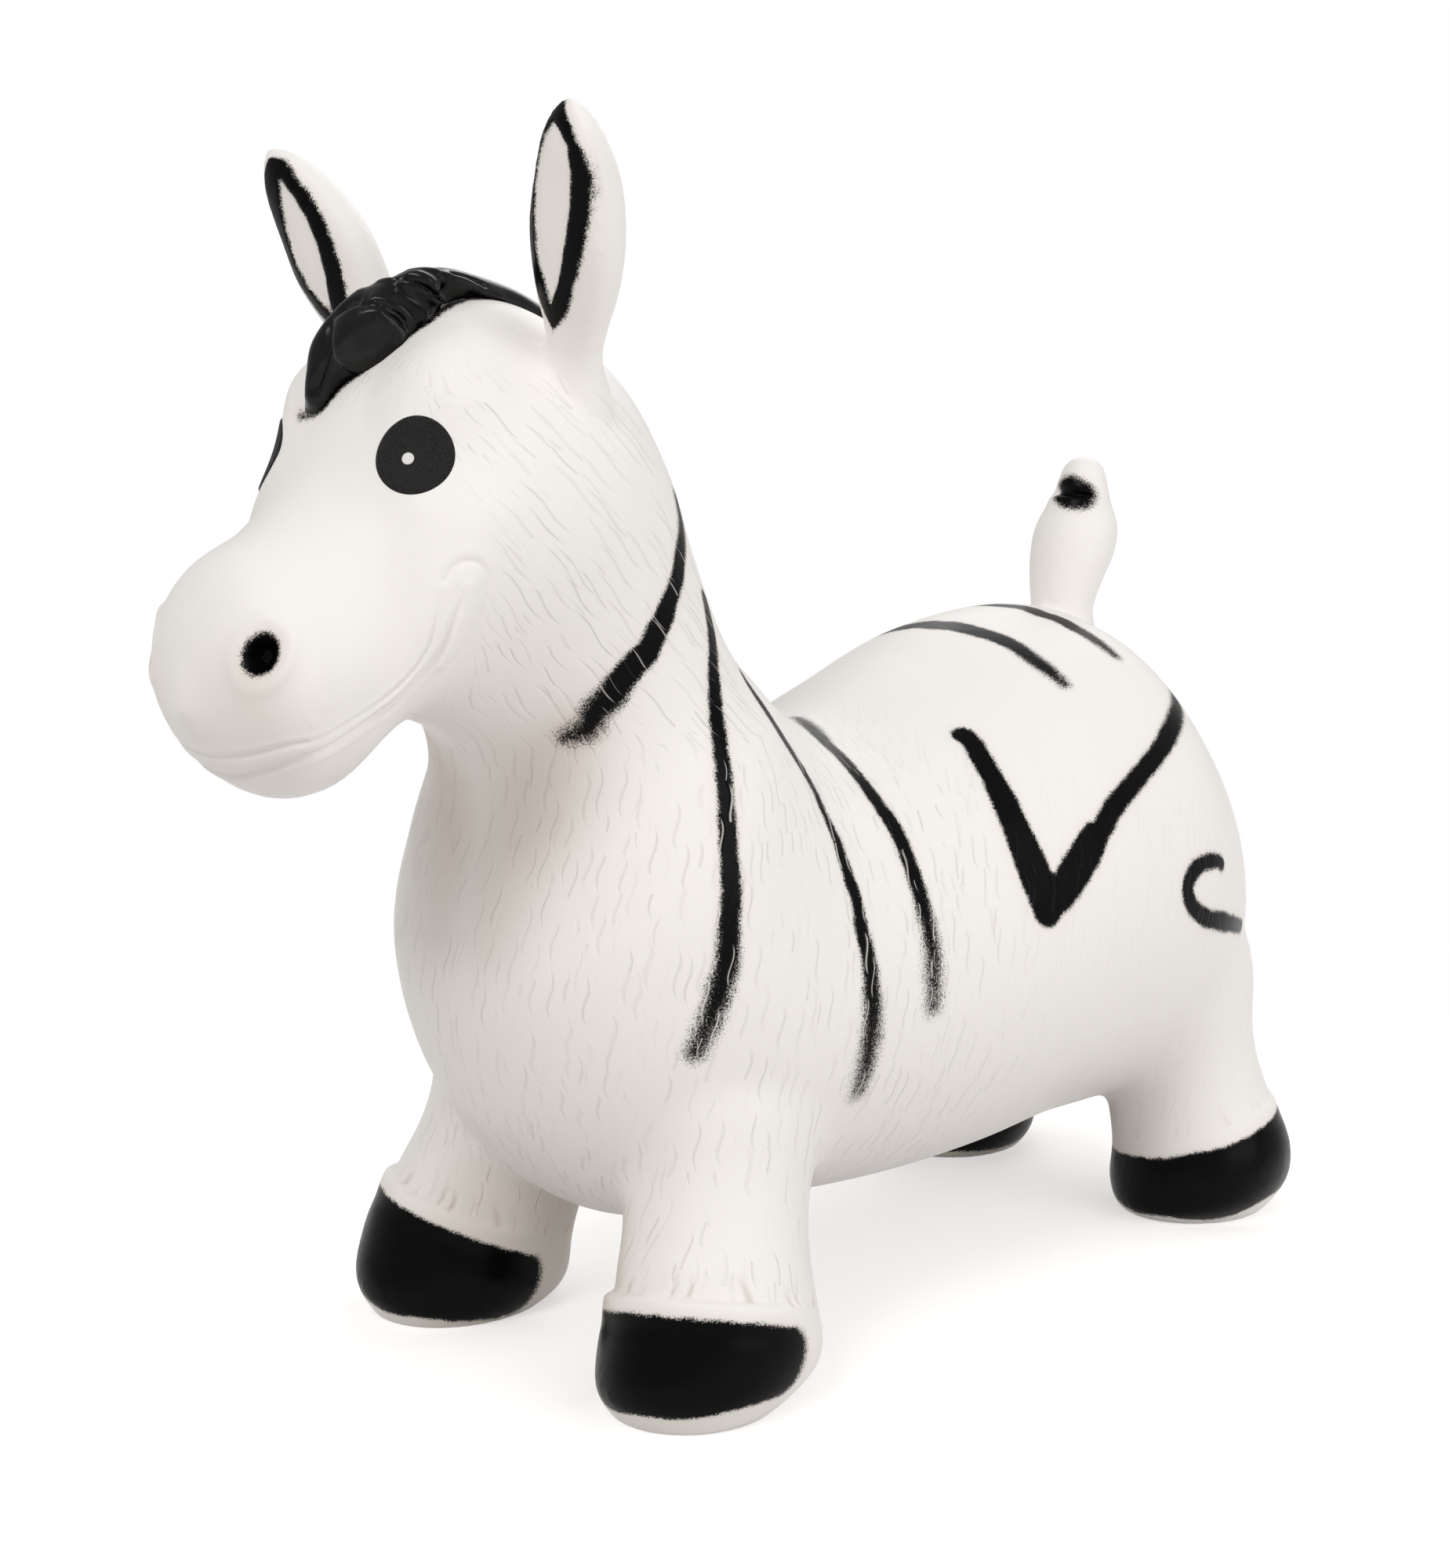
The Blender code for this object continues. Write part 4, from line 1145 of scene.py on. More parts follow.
@dataclass
class Skin:
    """The whole outer skin: its shape, its relief, and the paint that is laid on it."""

    trunk: Trunk = field(default_factory=Trunk)
    neck: Neck = field(default_factory=Neck)
    tail: Tail = field(default_factory=Tail)
    legs: list[Leg] = field(default_factory=lambda: [Leg(side, end) for side in SIDES for end in End])
    ears: list[Ear] = field(default_factory=lambda: [Ear(side) for side in SIDES])
    voxel: float = 0.0025
    snap: float = 0.00022
    soft_ear: float = 1.3
    soft_nostril: float = 1.4
    soft_tail: float = 2.6
    soft_mane: float = 1.6
    halo: float = 0.22
    halo_reach: float = 0.0018
    nostril_halves: tuple = (0.0080, 0.0064)
    nostril_depth: float = 0.0078

    def shape(self) -> Surface:
        """The smooth skin, without its fine relief.

        Returns:
            One closed surface.
        """
        parts = [loft(part.rings()) for part in (self.trunk, self.tail, *self.legs, *self.ears)]
        surface = fused(parts, self.voxel)
        log.info("fused skin: %d triangles", len(surface.triangles))
        surface = surface.refined(self.wants_detail).refined(self.wants_fine_detail)
        surface = surface.relaxed(8, np.full(len(surface.points), 0.5), back=1.04)
        surface = surface.relaxed(40, 0.5 * self.join_weight(surface.points))
        surface = surface.relaxed(4, np.full(len(surface.points), 0.4))
        surface.points[:, 2] = np.maximum(surface.points[:, 2], 0.0)
        return surface

    def wants_detail(self, points: Points) -> Points:
        """True on the head, ears, tail and hooves.

        Args:
            points: the points.

        Returns:
            one value for each point.
        """
        head = (self.neck.height(points) > -0.004) & (points[:, 1] < -0.140)
        tail = self.tail.near(points)
        feet = np.any([leg.near(points) & (leg.height_over_hoof(points) < 0.016) for leg in self.legs], axis=0)
        valve = (from_valve(points) < 0.014) & (points[:, 2] < BELLY_TOP)
        return head | tail | feet | valve

    def wants_fine_detail(self, points: Points) -> Points:
        """True along the mouth and round the nostrils.

        Args:
            points: the points.

        Returns:
            one value for each point.
        """
        near = on_left(points)
        mouth = np.minimum(LIP_UPPER.measure(near)[0], LIP_LOWER.measure(near)[0]) < 0.0065
        fold = CHEEK_FOLD.measure(near)[0] < 0.0055
        return mouth | fold | (np.linalg.norm(near - np.array(NOSTRIL_PLACE), axis=1) < 0.0155)

    def join_weight(self, points: Points) -> Points:
        """1 where a leg, an ear or the tail runs into the trunk, falling to 0 beside it.

        Args:
            points: the points.

        Returns:
            one value for each point.
        """
        weight = np.zeros(len(points))
        for leg in self.legs:
            top = leg.centre(0.088 if leg.is_front else 0.078)
            offset = points - top
            level = np.linalg.norm(offset[:, :2], axis=1)
            ring = bell(level - 0.046, 0.040) * bell(offset[:, 2] - 0.012, 0.052)
            weight = np.maximum(weight, ring)
        for ear in self.ears:
            share, across, out = ear.local(points)
            ring = bell(share * ear.length - 0.009, 0.011) * (np.hypot(across, out) < 0.04)
            weight = np.maximum(weight, 0.7 * ring)
        offset = points - self.tail.root()
        near_tail = np.hypot(offset[:, 0], offset[:, 1]) < 0.05
        return np.maximum(weight, bell(offset[:, 2] - 0.012, 0.014) * near_tail)

    def relief(self, surface: Surface) -> Surface:
        """The skin with its brows, mouth, nostrils, coronets and creases, moved along its normals.

        Args:
            surface: the smooth skin.

        Returns:
            The finished shape.
        """
        normals = surface.normals()
        points = on_left(surface.points)
        lift = np.zeros(len(points))
        for place, rise, reach in SWELLINGS.values():
            lift += rise * bell(np.linalg.norm(points - np.array(place), axis=1), reach)
        for groove, depth in GROOVES:
            distance, along, half = groove.measure(points)
            strength = smoothstep(1.02, 0.80, along)
            lift -= depth * strength * np.exp(-((distance / (half * 0.75)) ** 2))
            lift += depth * 0.25 * strength * np.exp(-(((distance - half * 2.1) / (half * 1.1)) ** 2))
        distance, along, half = CHEEK_PAD.measure(points)
        lift += 0.0012 * np.exp(-((distance / half) ** 2))
        lift += self.nostril_lift(points)
        for leg in self.legs:
            lift += self.coronet_lift(leg, surface.points)
        for ear in self.ears:
            share, across, out = ear.local(surface.points)
            inside = smoothstep(-0.0014, 0.0016, ear.almond(share, across)) * (out > 0) * (share > 0.15)
            lift -= 0.0012 * inside * (np.abs(across) < 0.03)
        lift += self.tail_lift(surface.points)
        moved = surface.points + lift[:, None] * normals
        moved[:, 2] = np.maximum(moved[:, 2], 0.0)
        return Surface(moved, surface.triangles)

    def nostril_ring(self, points: Points) -> Points:
        """Distance from the nostril's middle in its own ellipse: 1 at the edge of the black, 9 far behind it.

        The ellipse lies square to its facing, with its long axis turned by the tilt.

        Args:
            points: the points.

        Returns:
            one value for each point.
        """
        facing = unit(np.array(NOSTRIL_FACING))
        aside = unit(np.cross((0.0, 0.0, 1.0), facing))
        up = np.cross(facing, aside)
        tilt = math.radians(NOSTRIL_TILT)
        offset = points - np.array(NOSTRIL_PLACE)
        long = offset @ (up * math.cos(tilt) + aside * math.sin(tilt))
        short = offset @ (aside * math.cos(tilt) - up * math.sin(tilt))
        longest, shortest = self.nostril_halves
        return np.hypot(long / longest, short / shortest) + 9.0 * (np.abs(offset @ facing) > 0.016)

    def nostril_lift(self, points: Points) -> Points:
        """A hollow of 8 mm in an ellipse, with a soft rim that is fuller behind it.

        Args:
            points: the points.

        Returns:
            one value for each point.
        """
        ring = self.nostril_ring(points)
        behind = smoothstep(-0.004, 0.006, points[:, 1] - NOSTRIL_PLACE[1])
        rim = (0.0006 + 0.0010 * behind) * np.exp(-(((ring - 1.62) / 0.42) ** 2))
        return rim - self.nostril_depth * smoothstep(1.15, 0.25, ring)

    def coronet_lift(self, leg: Leg, points: Points) -> Points:
        """A rounded lip over the hoof, a crease along its top, and notches of pressed hair that end in it.

        Out by the lip's size below the crease, fading down over 13 mm and to the heel, and in above it.

        Args:
            leg: the leg.
            points: the points.

        Returns:
            one value for each point.
        """
        crease, _, size = leg.coronet
        wave, heel = self.around(leg, points)
        height = leg.height_over_hoof(points) - crease - 0.0020 * heel - 0.0004 * wave
        size = size * (1 - heel)
        below = smoothstep(0.0022, -0.0030, height)
        under, over = smoothstep(-0.0150, -0.0020, height), smoothstep(0.012, 0.0, height)
        lip = size * (below * under - 0.45 * (1 - below) * over)
        line = -0.25 * size * np.exp(-(((height - 0.0006) / 0.0009) ** 2))
        return leg.near(points) * (lip + line - self.notches(leg, points) * size * 0.32)

    def around(self, leg: Leg, points: Points) -> tuple[Points, Points]:
        """A slow wave round the leg from -1 to 1, and how far each place is towards the heel, from 0 to 1.

        Args:
            leg: the leg.
            points: the points.

        Returns:
            both for each point.
        """
        offset = points - leg.centre(points[:, 2])
        angle = np.arctan2(offset[:, 0] * leg.side, -offset[:, 1] * (1 if leg.is_front else -1))
        heel = smoothstep(math.radians(50), math.radians(115), np.abs(angle - math.radians(12)))
        return np.sin(5 * angle + 2 * np.sin(2 * angle)), heel

    def notches(self, leg: Leg, points: Points) -> Points:
        """Narrow upright notches over the crease: the 16th power of a cosine round the leg, fading upwards.

        Args:
            leg: the leg.
            points: the points.

        Returns:
            one value for each point.
        """
        offset = points - leg.centre(points[:, 2])
        angle = np.arctan2(offset[:, 1], offset[:, 0])
        height = leg.height_over_hoof(points) - leg.coronet[0]
        turn = 16 * angle + 1.6 * np.sin(5 * angle) + 0.5 * np.sin(height * 330.0 + 3 * angle)
        chance = smoothstep(-0.7, 0.6, np.sin(11 * angle + 1.0) + 0.4 * np.sin(4 * angle))
        reach = smoothstep(0.011 + 0.004 * np.sin(9 * angle), 0.001, height) * (height > 0)
        return leg.near(points) * np.abs(np.cos(turn)) ** 16 * reach * chance

    def tail_lift(self, points: Points) -> Points:
        """The crease across the front of the tail, under its curled tip.

        Args:
            points: the points.

        Returns:
            one value for each point.
        """
        distance, _, half = TAIL_CREASE.measure(points)
        below = smoothstep(0.001, -0.004, points[:, 2] - 0.3565)
        lift = 0.0010 * below * np.exp(-((distance / 0.007) ** 2)) - 0.0034 * np.exp(-((distance / half) ** 2))
        return self.tail.near(points) * lift

    def paint(self, points: Points, normals: Points) -> dict[str, Points]:
        """What the material reads at each point.

        Args:
            points: the skin's points.
            normals: their normals.

        Returns:
            paint_edge: distance past the nearest painted edge in millimetres, less than 0 inside.
            paint_soft: how wide that edge fades, in millimetres.
            paint_haze: strength of the warm overspray and painted shade, with a halo round every painted edge.
            fur: strength of the pressed strokes.
            fur_place: the place that the strokes are laid by.
        """
        near = on_left(points)
        layers = PaintLayers(np.full(len(points), FAR), np.full(len(points), 1.2))
        for stripe in STRIPES:
            layers.lay(*stripe.painted(near))
        for ear in self.ears:
            layers.lay(ear.paint_edge(points), self.soft_ear)
        for leg in self.legs:
            layers.lay(*self.hoof_edge(leg, points))
        layers.lay((self.nostril_ring(near) - 1) * 0.0070, self.soft_nostril)
        layers.lay(self.tail_edge(points), self.soft_tail)
        layers.lay(Mane().skin_edge(points), self.soft_mane)
        halo = self.halo * np.exp(-np.maximum(layers.edge, 0.0) / self.halo_reach)
        return {
            "paint_edge": layers.edge / MM,
            "paint_soft": layers.soft,
            # the warm tint is overspray and painted shade
            "paint_haze": self.haze_and_shade(points, normals) + halo,
            "fur": self.fur(points),
            "fur_place": self.fur_place(points),
        }

    def hoof_edge(self, leg: Leg, points: Points) -> tuple[Points, Points]:
        """The hoof's black: below its top line, over the sole's pale rim, and rounded off before the heel.

        The rim is higher on the outer side. Edges a and b meet as min(max(a, b), -r) + |max(a + r, 0),
        max(b + r, 0)|, a corner of radius r.

        Args:
            leg: the leg.
            points: the skin's points.

        Returns:
            The distance past the black's edge, and how wide that edge fades in millimetres.
        """
        height = leg.height_over_hoof(points)
        offset = points - leg.centre(points[:, 2])
        wave, heel = self.around(leg, points)
        angle = np.arctan2(offset[:, 0] * leg.side + 0.004, -offset[:, 1])
        top = height - leg.coronet[1] + 0.0004 * wave * (not leg.is_front) + 0.002 * heel
        if leg.is_front:
            rim = 0.0070 + 0.0042 * np.sin(angle)
        else:
            rim = 0.0040 + 0.0075 * smoothstep(0.3, 1.0, np.cos(angle - math.radians(125)))
        past = (np.abs(angle) - math.radians(101.0 if leg.is_front else 160.0)) * 0.044
        body = np.maximum(top, rim + 0.0007 * wave - points[:, 2])
        corner = 0.008
        edge = np.minimum(np.maximum(body, past), -corner)
        edge = edge + np.hypot(np.maximum(body + corner, 0.0), np.maximum(past + corner, 0.0))
        soft = 1.3 + 2.2 * smoothstep(-0.010, 0.0, past)
        return np.where(leg.near(points), edge, FAR), soft

    def tail_edge(self, points: Points) -> Points:
        """Distance past the black round the tail's crease, an ellipse on its front and left side.

        Args:
            points: the points.

        Returns:
            one value for each point.
        """
        offset = points - np.array((0.0040, 0.2190, 0.3562))
        level = np.hypot(offset[:, 0], offset[:, 1])
        rise = offset[:, 2] + 0.22 * offset[:, 0]
        flat = np.hypot(level / 0.0118, rise / 0.0084)
        return np.where(self.tail.near(points), (flat - 1) * 0.0095, FAR)

    def haze_and_shade(self, points: Points, normals: Points) -> Points:
        """Warm tint: overspray under the neck stripe and down the throat, partly painted shade there, and painted shade
        under the muzzle, on the legs' inner sides and in the notches.

        Args:
            points: the points.
            normals: the normals there.

        Returns:
            one value for each point.
        """
        # under the neck stripe and down the throat: overspray, and painted shade lower down
        distance, along, half = THROAT_OVERSPRAY_AND_SHADE.measure(on_left(points))
        haze_and_shade = (0.50 - 0.34 * along) * np.exp(-((distance / (half * 1.15)) ** 2))
        # painted shade: a warm patch under the nostril
        haze_and_shade += 0.15 * bell(np.linalg.norm(on_left(points) - np.array(MUZZLE_SHADE), axis=1), 0.034)
        # painted shade: a warm tint on the legs' inner sides, low down
        inward = -np.sign(points[:, 0]) * normals[:, 0]
        haze_and_shade += 0.32 * smoothstep(0.1, 0.8, inward) * smoothstep(0.17, 0.06, points[:, 2])
        # painted shade: a warm tint in the notches over the hooves
        for leg in self.legs:
            haze_and_shade += (0.40 if leg.is_front else 0.15) * self.notches(leg, points)
        return haze_and_shade

    def fur(self, points: Points) -> Points:
        """Strength of the pressed strokes: on cheeks, neck, chest, flanks and legs, none on the face or back.

        Args:
            points: the points.

        Returns:
            one value for each point.
        """
        near = on_left(points)
        up = self.neck.height(points)
        back_of_line = near[:, 1] + 0.25 * np.maximum(near[:, 2] - 0.34, 0.0)
        cheek = 0.9 * smoothstep(-0.216, -0.196, back_of_line) * smoothstep(0.425, 0.385, near[:, 2])
        body = smoothstep(0.285, 0.225, near[:, 2] + 0.25 * np.maximum(near[:, 1] - 0.05, 0))
        neck = smoothstep(0.05, -0.02, near[:, 1])
        lower = np.maximum(body, neck)
        strength = np.where(up > 0, cheek, lower)
        over_lip = [leg.height_over_hoof(points) - leg.coronet[0] for leg in self.legs]
        clear = [leg.near(points) * smoothstep(0.002, -0.002, rise) for leg, rise in zip(self.legs, over_lip)]
        hooves = np.max(clear, 0)
        top = smoothstep(0.02, 0.06, near[:, 2])
        ears = np.max([1.0 * ear.near(points) for ear in self.ears], 0)
        tail = 0.5 * self.tail.near(points)
        rump = 1 - 0.65 * smoothstep(0.02, 0.07, near[:, 1])
        return strength * (1 - hooves) * top * (1 - ears) * (1 - tail) * rump

    def fur_place(self, points: Points) -> Points:
        """The points, with y moved on as z rises over the neck, so that strokes upright in it slant on the cheek.

        Args:
            points: the points.

        Returns:
            the moved points.
        """
        slant = 1.15 * np.maximum(points[:, 2] - 0.262, 0.0)
        moved = points.copy()
        moved[:, 1] += slant
        return moved


# ---------------------------------------------------------------- materials


class Sheet:
    """A material's or a group's nodes, with short ways to place and join them."""

    def __init__(self, tree: bpy.types.NodeTree) -> None:
        """Keeps the tree that the nodes go into."""
        self.tree = tree

    def node(self, kind: str, **settings: object) -> bpy.types.Node:
        """A new node.

        Args:
            kind: the node's type.
            settings: values of its settings; a name that starts with in_ is the number of an input.

        Returns:
            The node.
        """
        made = self.tree.nodes.new(kind)
        for name, value in settings.items():
            if name.startswith("in_"):
                self.feed(made.inputs[int(name[3:])], value)
            else:
                setattr(made, name, value)
        return made

    def feed(self, socket: bpy.types.NodeSocket, value: object) -> None:
        """Joins an output to the socket, or sets its value."""
        if isinstance(value, bpy.types.NodeSocket):
            self.tree.links.new(value, socket)
        else:
            socket.default_value = value

    def math(self, operation: str, a: object, b: object = 0.0, c: object = 0.0, clamp: bool = False) -> object:
        """The output of a Math node."""
        return self.node(
            "ShaderNodeMath", operation=operation, use_clamp=clamp, in_0=a, in_1=b, in_2=c
        ).outputs[0]

    def vector(self, operation: str, a: object, b: object = (0.0, 0.0, 0.0)) -> bpy.types.Node:
        """A Vector Math node."""
        return self.node("ShaderNodeVectorMath", operation=operation, in_0=a, in_1=b)

    def ramp(self, value: object, low: float, high: float, start: float = 0.0, end: float = 1.0) -> object:
        """The value carried smoothly from low and high to start and end."""
        return self.node(
            "ShaderNodeMapRange", interpolation_type="SMOOTHSTEP", in_0=value, in_1=low, in_2=high, in_3=start, in_4=end
        ).outputs[0]

    def noise(self, place: object, scale: float, detail: float = 3.0, rough: float = 0.55) -> object:
        """The strength of a Noise texture."""
        return self.node("ShaderNodeTexNoise", in_0=place, in_2=scale, in_3=detail, in_4=rough).outputs[0]

    def mix(self, share: object, a: object, b: object) -> object:
        """The colour a, going to b by the share."""
        return self.node("ShaderNodeMix", data_type="RGBA", in_0=share, in_6=a, in_7=b).outputs[2]

    def object_place(self) -> object:
        """The piece's own coordinates."""
        return self.node("ShaderNodeTexCoord").outputs["Object"]

    def raise_by(self, shader: bpy.types.Node, height: object, distance: float, strength: float = 1.0) -> None:
        """Bends the shader's normal by a bump of the height.

        Args:
            shader: the shader.
            height: the height, about 0 to 1.
            distance: how far a height of 1 stands out, in metres.
            strength: how strongly the bump shows.
        """
        bump = self.node("ShaderNodeBump")
        bump.inputs["Distance"].default_value = distance
        bump.inputs["Strength"].default_value = strength
        self.feed(bump.inputs["Height"], height)
        self.feed(shader.inputs["Normal"], bump.outputs[0])

    def attribute(self, name: str, output: str = "Fac") -> object:
        """One output of a piece's own attribute."""
        return self.node("ShaderNodeAttribute", attribute_name=name).outputs[output]


def new_group(name: str, inputs: dict[str, str], outputs: dict[str, str]) -> tuple[Sheet, object, object]:
    """An empty node group with its sockets.

    Args:
        name: the group's name.
        inputs: socket types by name.
        outputs: socket types by name.

    Returns:
        Its sheet, its input node and its output node.
    """
    tree = bpy.data.node_groups.new(name, "ShaderNodeTree")
    for direction, sockets in (("INPUT", inputs), ("OUTPUT", outputs)):
        for socket, kind in sockets.items():
            tree.interface.new_socket(socket, in_out=direction, socket_type=kind)
    sheet = Sheet(tree)
    return sheet, sheet.node("NodeGroupInput"), sheet.node("NodeGroupOutput")


@dataclass(frozen=True)
class FurStrokes:
    """Pressed hair strokes: a thin bent groove in each cell of a stretched cell pattern."""

    cell: float = 0.0062
    length: float = 0.0250
    half_width: float = 0.00105
    bend: float = 0.0014
    bend_rate: float = 290.0

    def group(self) -> bpy.types.NodeTree:
        """The group that gives the groove's depth from 0 to 1.

        Returns:
            the node group.
        """
        name = "pressed_fur"
        if name in bpy.data.node_groups:
            return bpy.data.node_groups[name]
        sheet, given, out = new_group(
            name, {"Place": "NodeSocketVector", "Across": "NodeSocketVector"}, {"Groove": "NodeSocketFloat"}
        )
        size = (self.cell, self.cell, self.length)
        scaled = sheet.vector("DIVIDE", given.outputs[0], size).outputs[0]
        cells = sheet.node("ShaderNodeTexVoronoi", in_0=scaled, in_2=1.0)
        offset = sheet.vector("MULTIPLY", sheet.vector("SUBTRACT", scaled, cells.outputs["Position"]).outputs[0], size)
        along = sheet.node("ShaderNodeSeparateXYZ", in_0=offset.outputs[0]).outputs[2]
        across = sheet.vector("DOT_PRODUCT", offset.outputs[0], given.outputs[1]).outputs["Value"]
        chance = sheet.node("ShaderNodeSeparateXYZ", in_0=cells.outputs["Color"])
        bend = sheet.math("MULTIPLY", sheet.math("SINE", sheet.math("MULTIPLY", along, self.bend_rate)), self.bend)
        aside = sheet.math("ABSOLUTE", sheet.math("ADD", across, bend))
        reach = sheet.ramp(sheet.math("ABSOLUTE", along), self.length * 0.2, self.length * 0.5, 1.0, 0.0)
        wide = sheet.math("MULTIPLY", sheet.ramp(chance.outputs[1], 0.0, 1.0, 0.6, 1.35), self.half_width)
        groove = sheet.math("SUBTRACT", 1.0, sheet.math("DIVIDE", aside, wide), clamp=True)
        strong = sheet.ramp(chance.outputs[0], 0.02, 0.55)
        sheet.feed(out.inputs[0], sheet.math("MULTIPLY", sheet.math("MULTIPLY", groove, reach), strong))
        return sheet.tree


@dataclass(frozen=True)
class SpeckledEdge:
    """Sprayed paint: full inside its edge, breaking into specks across a narrow band outside."""

    grain: float = 1500.0
    drift: float = 160.0

    def group(self) -> bpy.types.NodeTree:
        """The group that gives the paint's cover from 0 to 1.

        Returns:
            the node group.
        """
        name = "speckled_edge"
        if name in bpy.data.node_groups:
            return bpy.data.node_groups[name]
        sheet, given, out = new_group(
            name,
            {"Place": "NodeSocketVector", "Edge": "NodeSocketFloat", "Soft": "NodeSocketFloat"},
            {"Cover": "NodeSocketFloat"},
        )
        place, edge, soft = given.outputs[0], given.outputs[1], given.outputs[2]
        specks = sheet.math("SUBTRACT", sheet.noise(place, self.grain, 2.0, 0.7), 0.5)
        drift = sheet.math("SUBTRACT", sheet.noise(place, self.drift, 2.0), 0.5)
        shifted = sheet.math("MULTIPLY_ADD", drift, 2.2, edge)
        shifted = sheet.math("MULTIPLY_ADD", sheet.math("MULTIPLY", specks, 3.4), soft, shifted)
        share = sheet.math("DIVIDE", shifted, soft)
        sheet.feed(out.inputs[0], sheet.ramp(share, -0.55, 0.75, 1.0, 0.0))
        return sheet.tree


@dataclass(frozen=True)
class Finish:
    """A material that is made once, however many pieces wear it."""

    name: str = "finish"

    def material(self) -> bpy.types.Material:
        """The material, made once.

        Returns:
            the material.
        """
        if self.name in bpy.data.materials:
            return bpy.data.materials[self.name]
        made = bpy.data.materials.new(self.name)
        made.use_nodes = True
        self.dress(Sheet(made.node_tree), made.node_tree.nodes["Principled BSDF"])
        return made

    def dress(self, sheet: Sheet, shader: bpy.types.Node) -> None:
        """Joins this finish's own nodes to the shader."""


@dataclass(frozen=True)
class PaintedVinyl(Finish):
    """Satin white vinyl with pressed fur strokes and sprayed black paint."""

    name: str = "painted_vinyl"
    white: tuple = (0.870, 0.842, 0.815, 1.0)
    # the tint of warm overspray and of painted shade
    haze_and_shade_tint: tuple = (0.44, 0.32, 0.21, 1.0)
    black: tuple = (0.001, 0.001, 0.001, 1.0)
    worn: tuple = (0.008, 0.008, 0.008, 1.0)

    def dress(self, sheet: Sheet, shader: bpy.types.Node) -> None:
        """Lays overspray, painted shade and paint over the white, thins the paint in the strokes, and presses them in.

        Args:
            sheet: the material's nodes.
            shader: its shader.
        """
        shader.inputs["Specular IOR Level"].default_value = 0.07
        place = sheet.attribute("skin_place", "Vector")
        fur = sheet.node("ShaderNodeGroup", node_tree=FurStrokes().group())
        sheet.feed(fur.inputs[0], sheet.attribute("fur_place", "Vector"))
        sheet.feed(fur.inputs[1], sheet.attribute("fur_side", "Vector"))
        groove = sheet.math("MULTIPLY", fur.outputs[0], sheet.attribute("fur"))
        cover = sheet.node("ShaderNodeGroup", node_tree=SpeckledEdge().group())
        sheet.feed(cover.inputs[0], place)
        sheet.feed(cover.inputs[1], sheet.attribute("paint_edge"))
        sheet.feed(cover.inputs[2], sheet.attribute("paint_soft"))
        bare = sheet.ramp(groove, 0.45, 0.95, 1.0, 0.35)
        black = sheet.math("MULTIPLY", cover.outputs[0], bare, clamp=True)
        clouds = sheet.noise(place, 9.0, 2.0)
        # warm overspray and painted shade, laid as a tint over the white
        haze_and_shade = sheet.math("MULTIPLY", sheet.attribute("paint_haze"), sheet.ramp(clouds, 0.3, 0.7, 0.5, 1.0))
        # painted shade: a faint warm tint deepens the bottom of every pressed stroke
        haze_and_shade = sheet.math("ADD", haze_and_shade, sheet.math("MULTIPLY", groove, 0.05))
        white = sheet.mix(haze_and_shade, self.white, self.haze_and_shade_tint)
        paint = sheet.mix(sheet.math("MULTIPLY", sheet.noise(place, 420.0), 0.12), self.black, self.worn)
        sheet.feed(shader.inputs["Base Color"], sheet.mix(black, white, paint))
        mottle = sheet.ramp(sheet.noise(place, 60.0), 0.3, 0.7, 0.36, 0.44)
        sheet.feed(shader.inputs["Roughness"], sheet.math("MULTIPLY_ADD", black, -0.10, mottle))
        grain = sheet.math("MULTIPLY", sheet.noise(place, 900.0, 2.0), 0.035)
        height = sheet.math("SUBTRACT", grain, groove)
        sheet.raise_by(shader, sheet.math("MULTIPLY_ADD", black, 0.05, height), 0.00035)


@dataclass(frozen=True)
class GlossPaint(Finish):
    """Glossy black paint over moulded vinyl, faintly uneven."""

    name: str = "gloss_black_paint"
    black: tuple = (0.001, 0.001, 0.001, 1.0)
    grey: tuple = (0.010, 0.010, 0.010, 1.0)

    def dress(self, sheet: Sheet, shader: bpy.types.Node) -> None:
        """Clouds the black, varies the gloss and adds a fine unevenness.

        Args:
            sheet: the material's nodes.
            shader: its shader.
        """
        shader.inputs["Specular IOR Level"].default_value = 0.24
        place = sheet.object_place()
        cloud = sheet.ramp(sheet.noise(place, 70.0), 0.45, 0.85)
        sheet.feed(shader.inputs["Base Color"], sheet.mix(cloud, self.black, self.grey))
        sheet.feed(shader.inputs["Roughness"], sheet.ramp(sheet.noise(place, 240.0), 0.3, 0.7, 0.17, 0.22))
        sheet.raise_by(shader, sheet.noise(place, 500.0), 0.00008, 0.5)


@dataclass(frozen=True)
class EyePrint(Finish):
    """Matt black print with a fine grain and one white dot."""

    name: str = "zebra_eye_print"
    black: tuple = (0.004, 0.004, 0.004, 1.0)
    grey: tuple = (0.028, 0.027, 0.026, 1.0)
    white: tuple = (0.80, 0.79, 0.77, 1.0)

    def dress(self, sheet: Sheet, shader: bpy.types.Node) -> None:
        """Grains the black and lays the dot by the disc's own attribute.

        Args:
            sheet: the material's nodes.
            shader: its shader.
        """
        shader.inputs["Specular IOR Level"].default_value = 0.15
        grain = sheet.ramp(sheet.noise(sheet.object_place(), 1800.0, 2.0, 0.7), 0.35, 0.72)
        dot = sheet.ramp(sheet.attribute("from_dot"), 0.9, 1.1, 1.0, 0.0)
        sheet.feed(shader.inputs["Base Color"], sheet.mix(dot, sheet.mix(grain, self.black, self.grey), self.white))
        sheet.feed(shader.inputs["Roughness"], sheet.ramp(grain, 0.0, 1.0, 0.42, 0.60))
        sheet.raise_by(shader, grain, 0.00015)


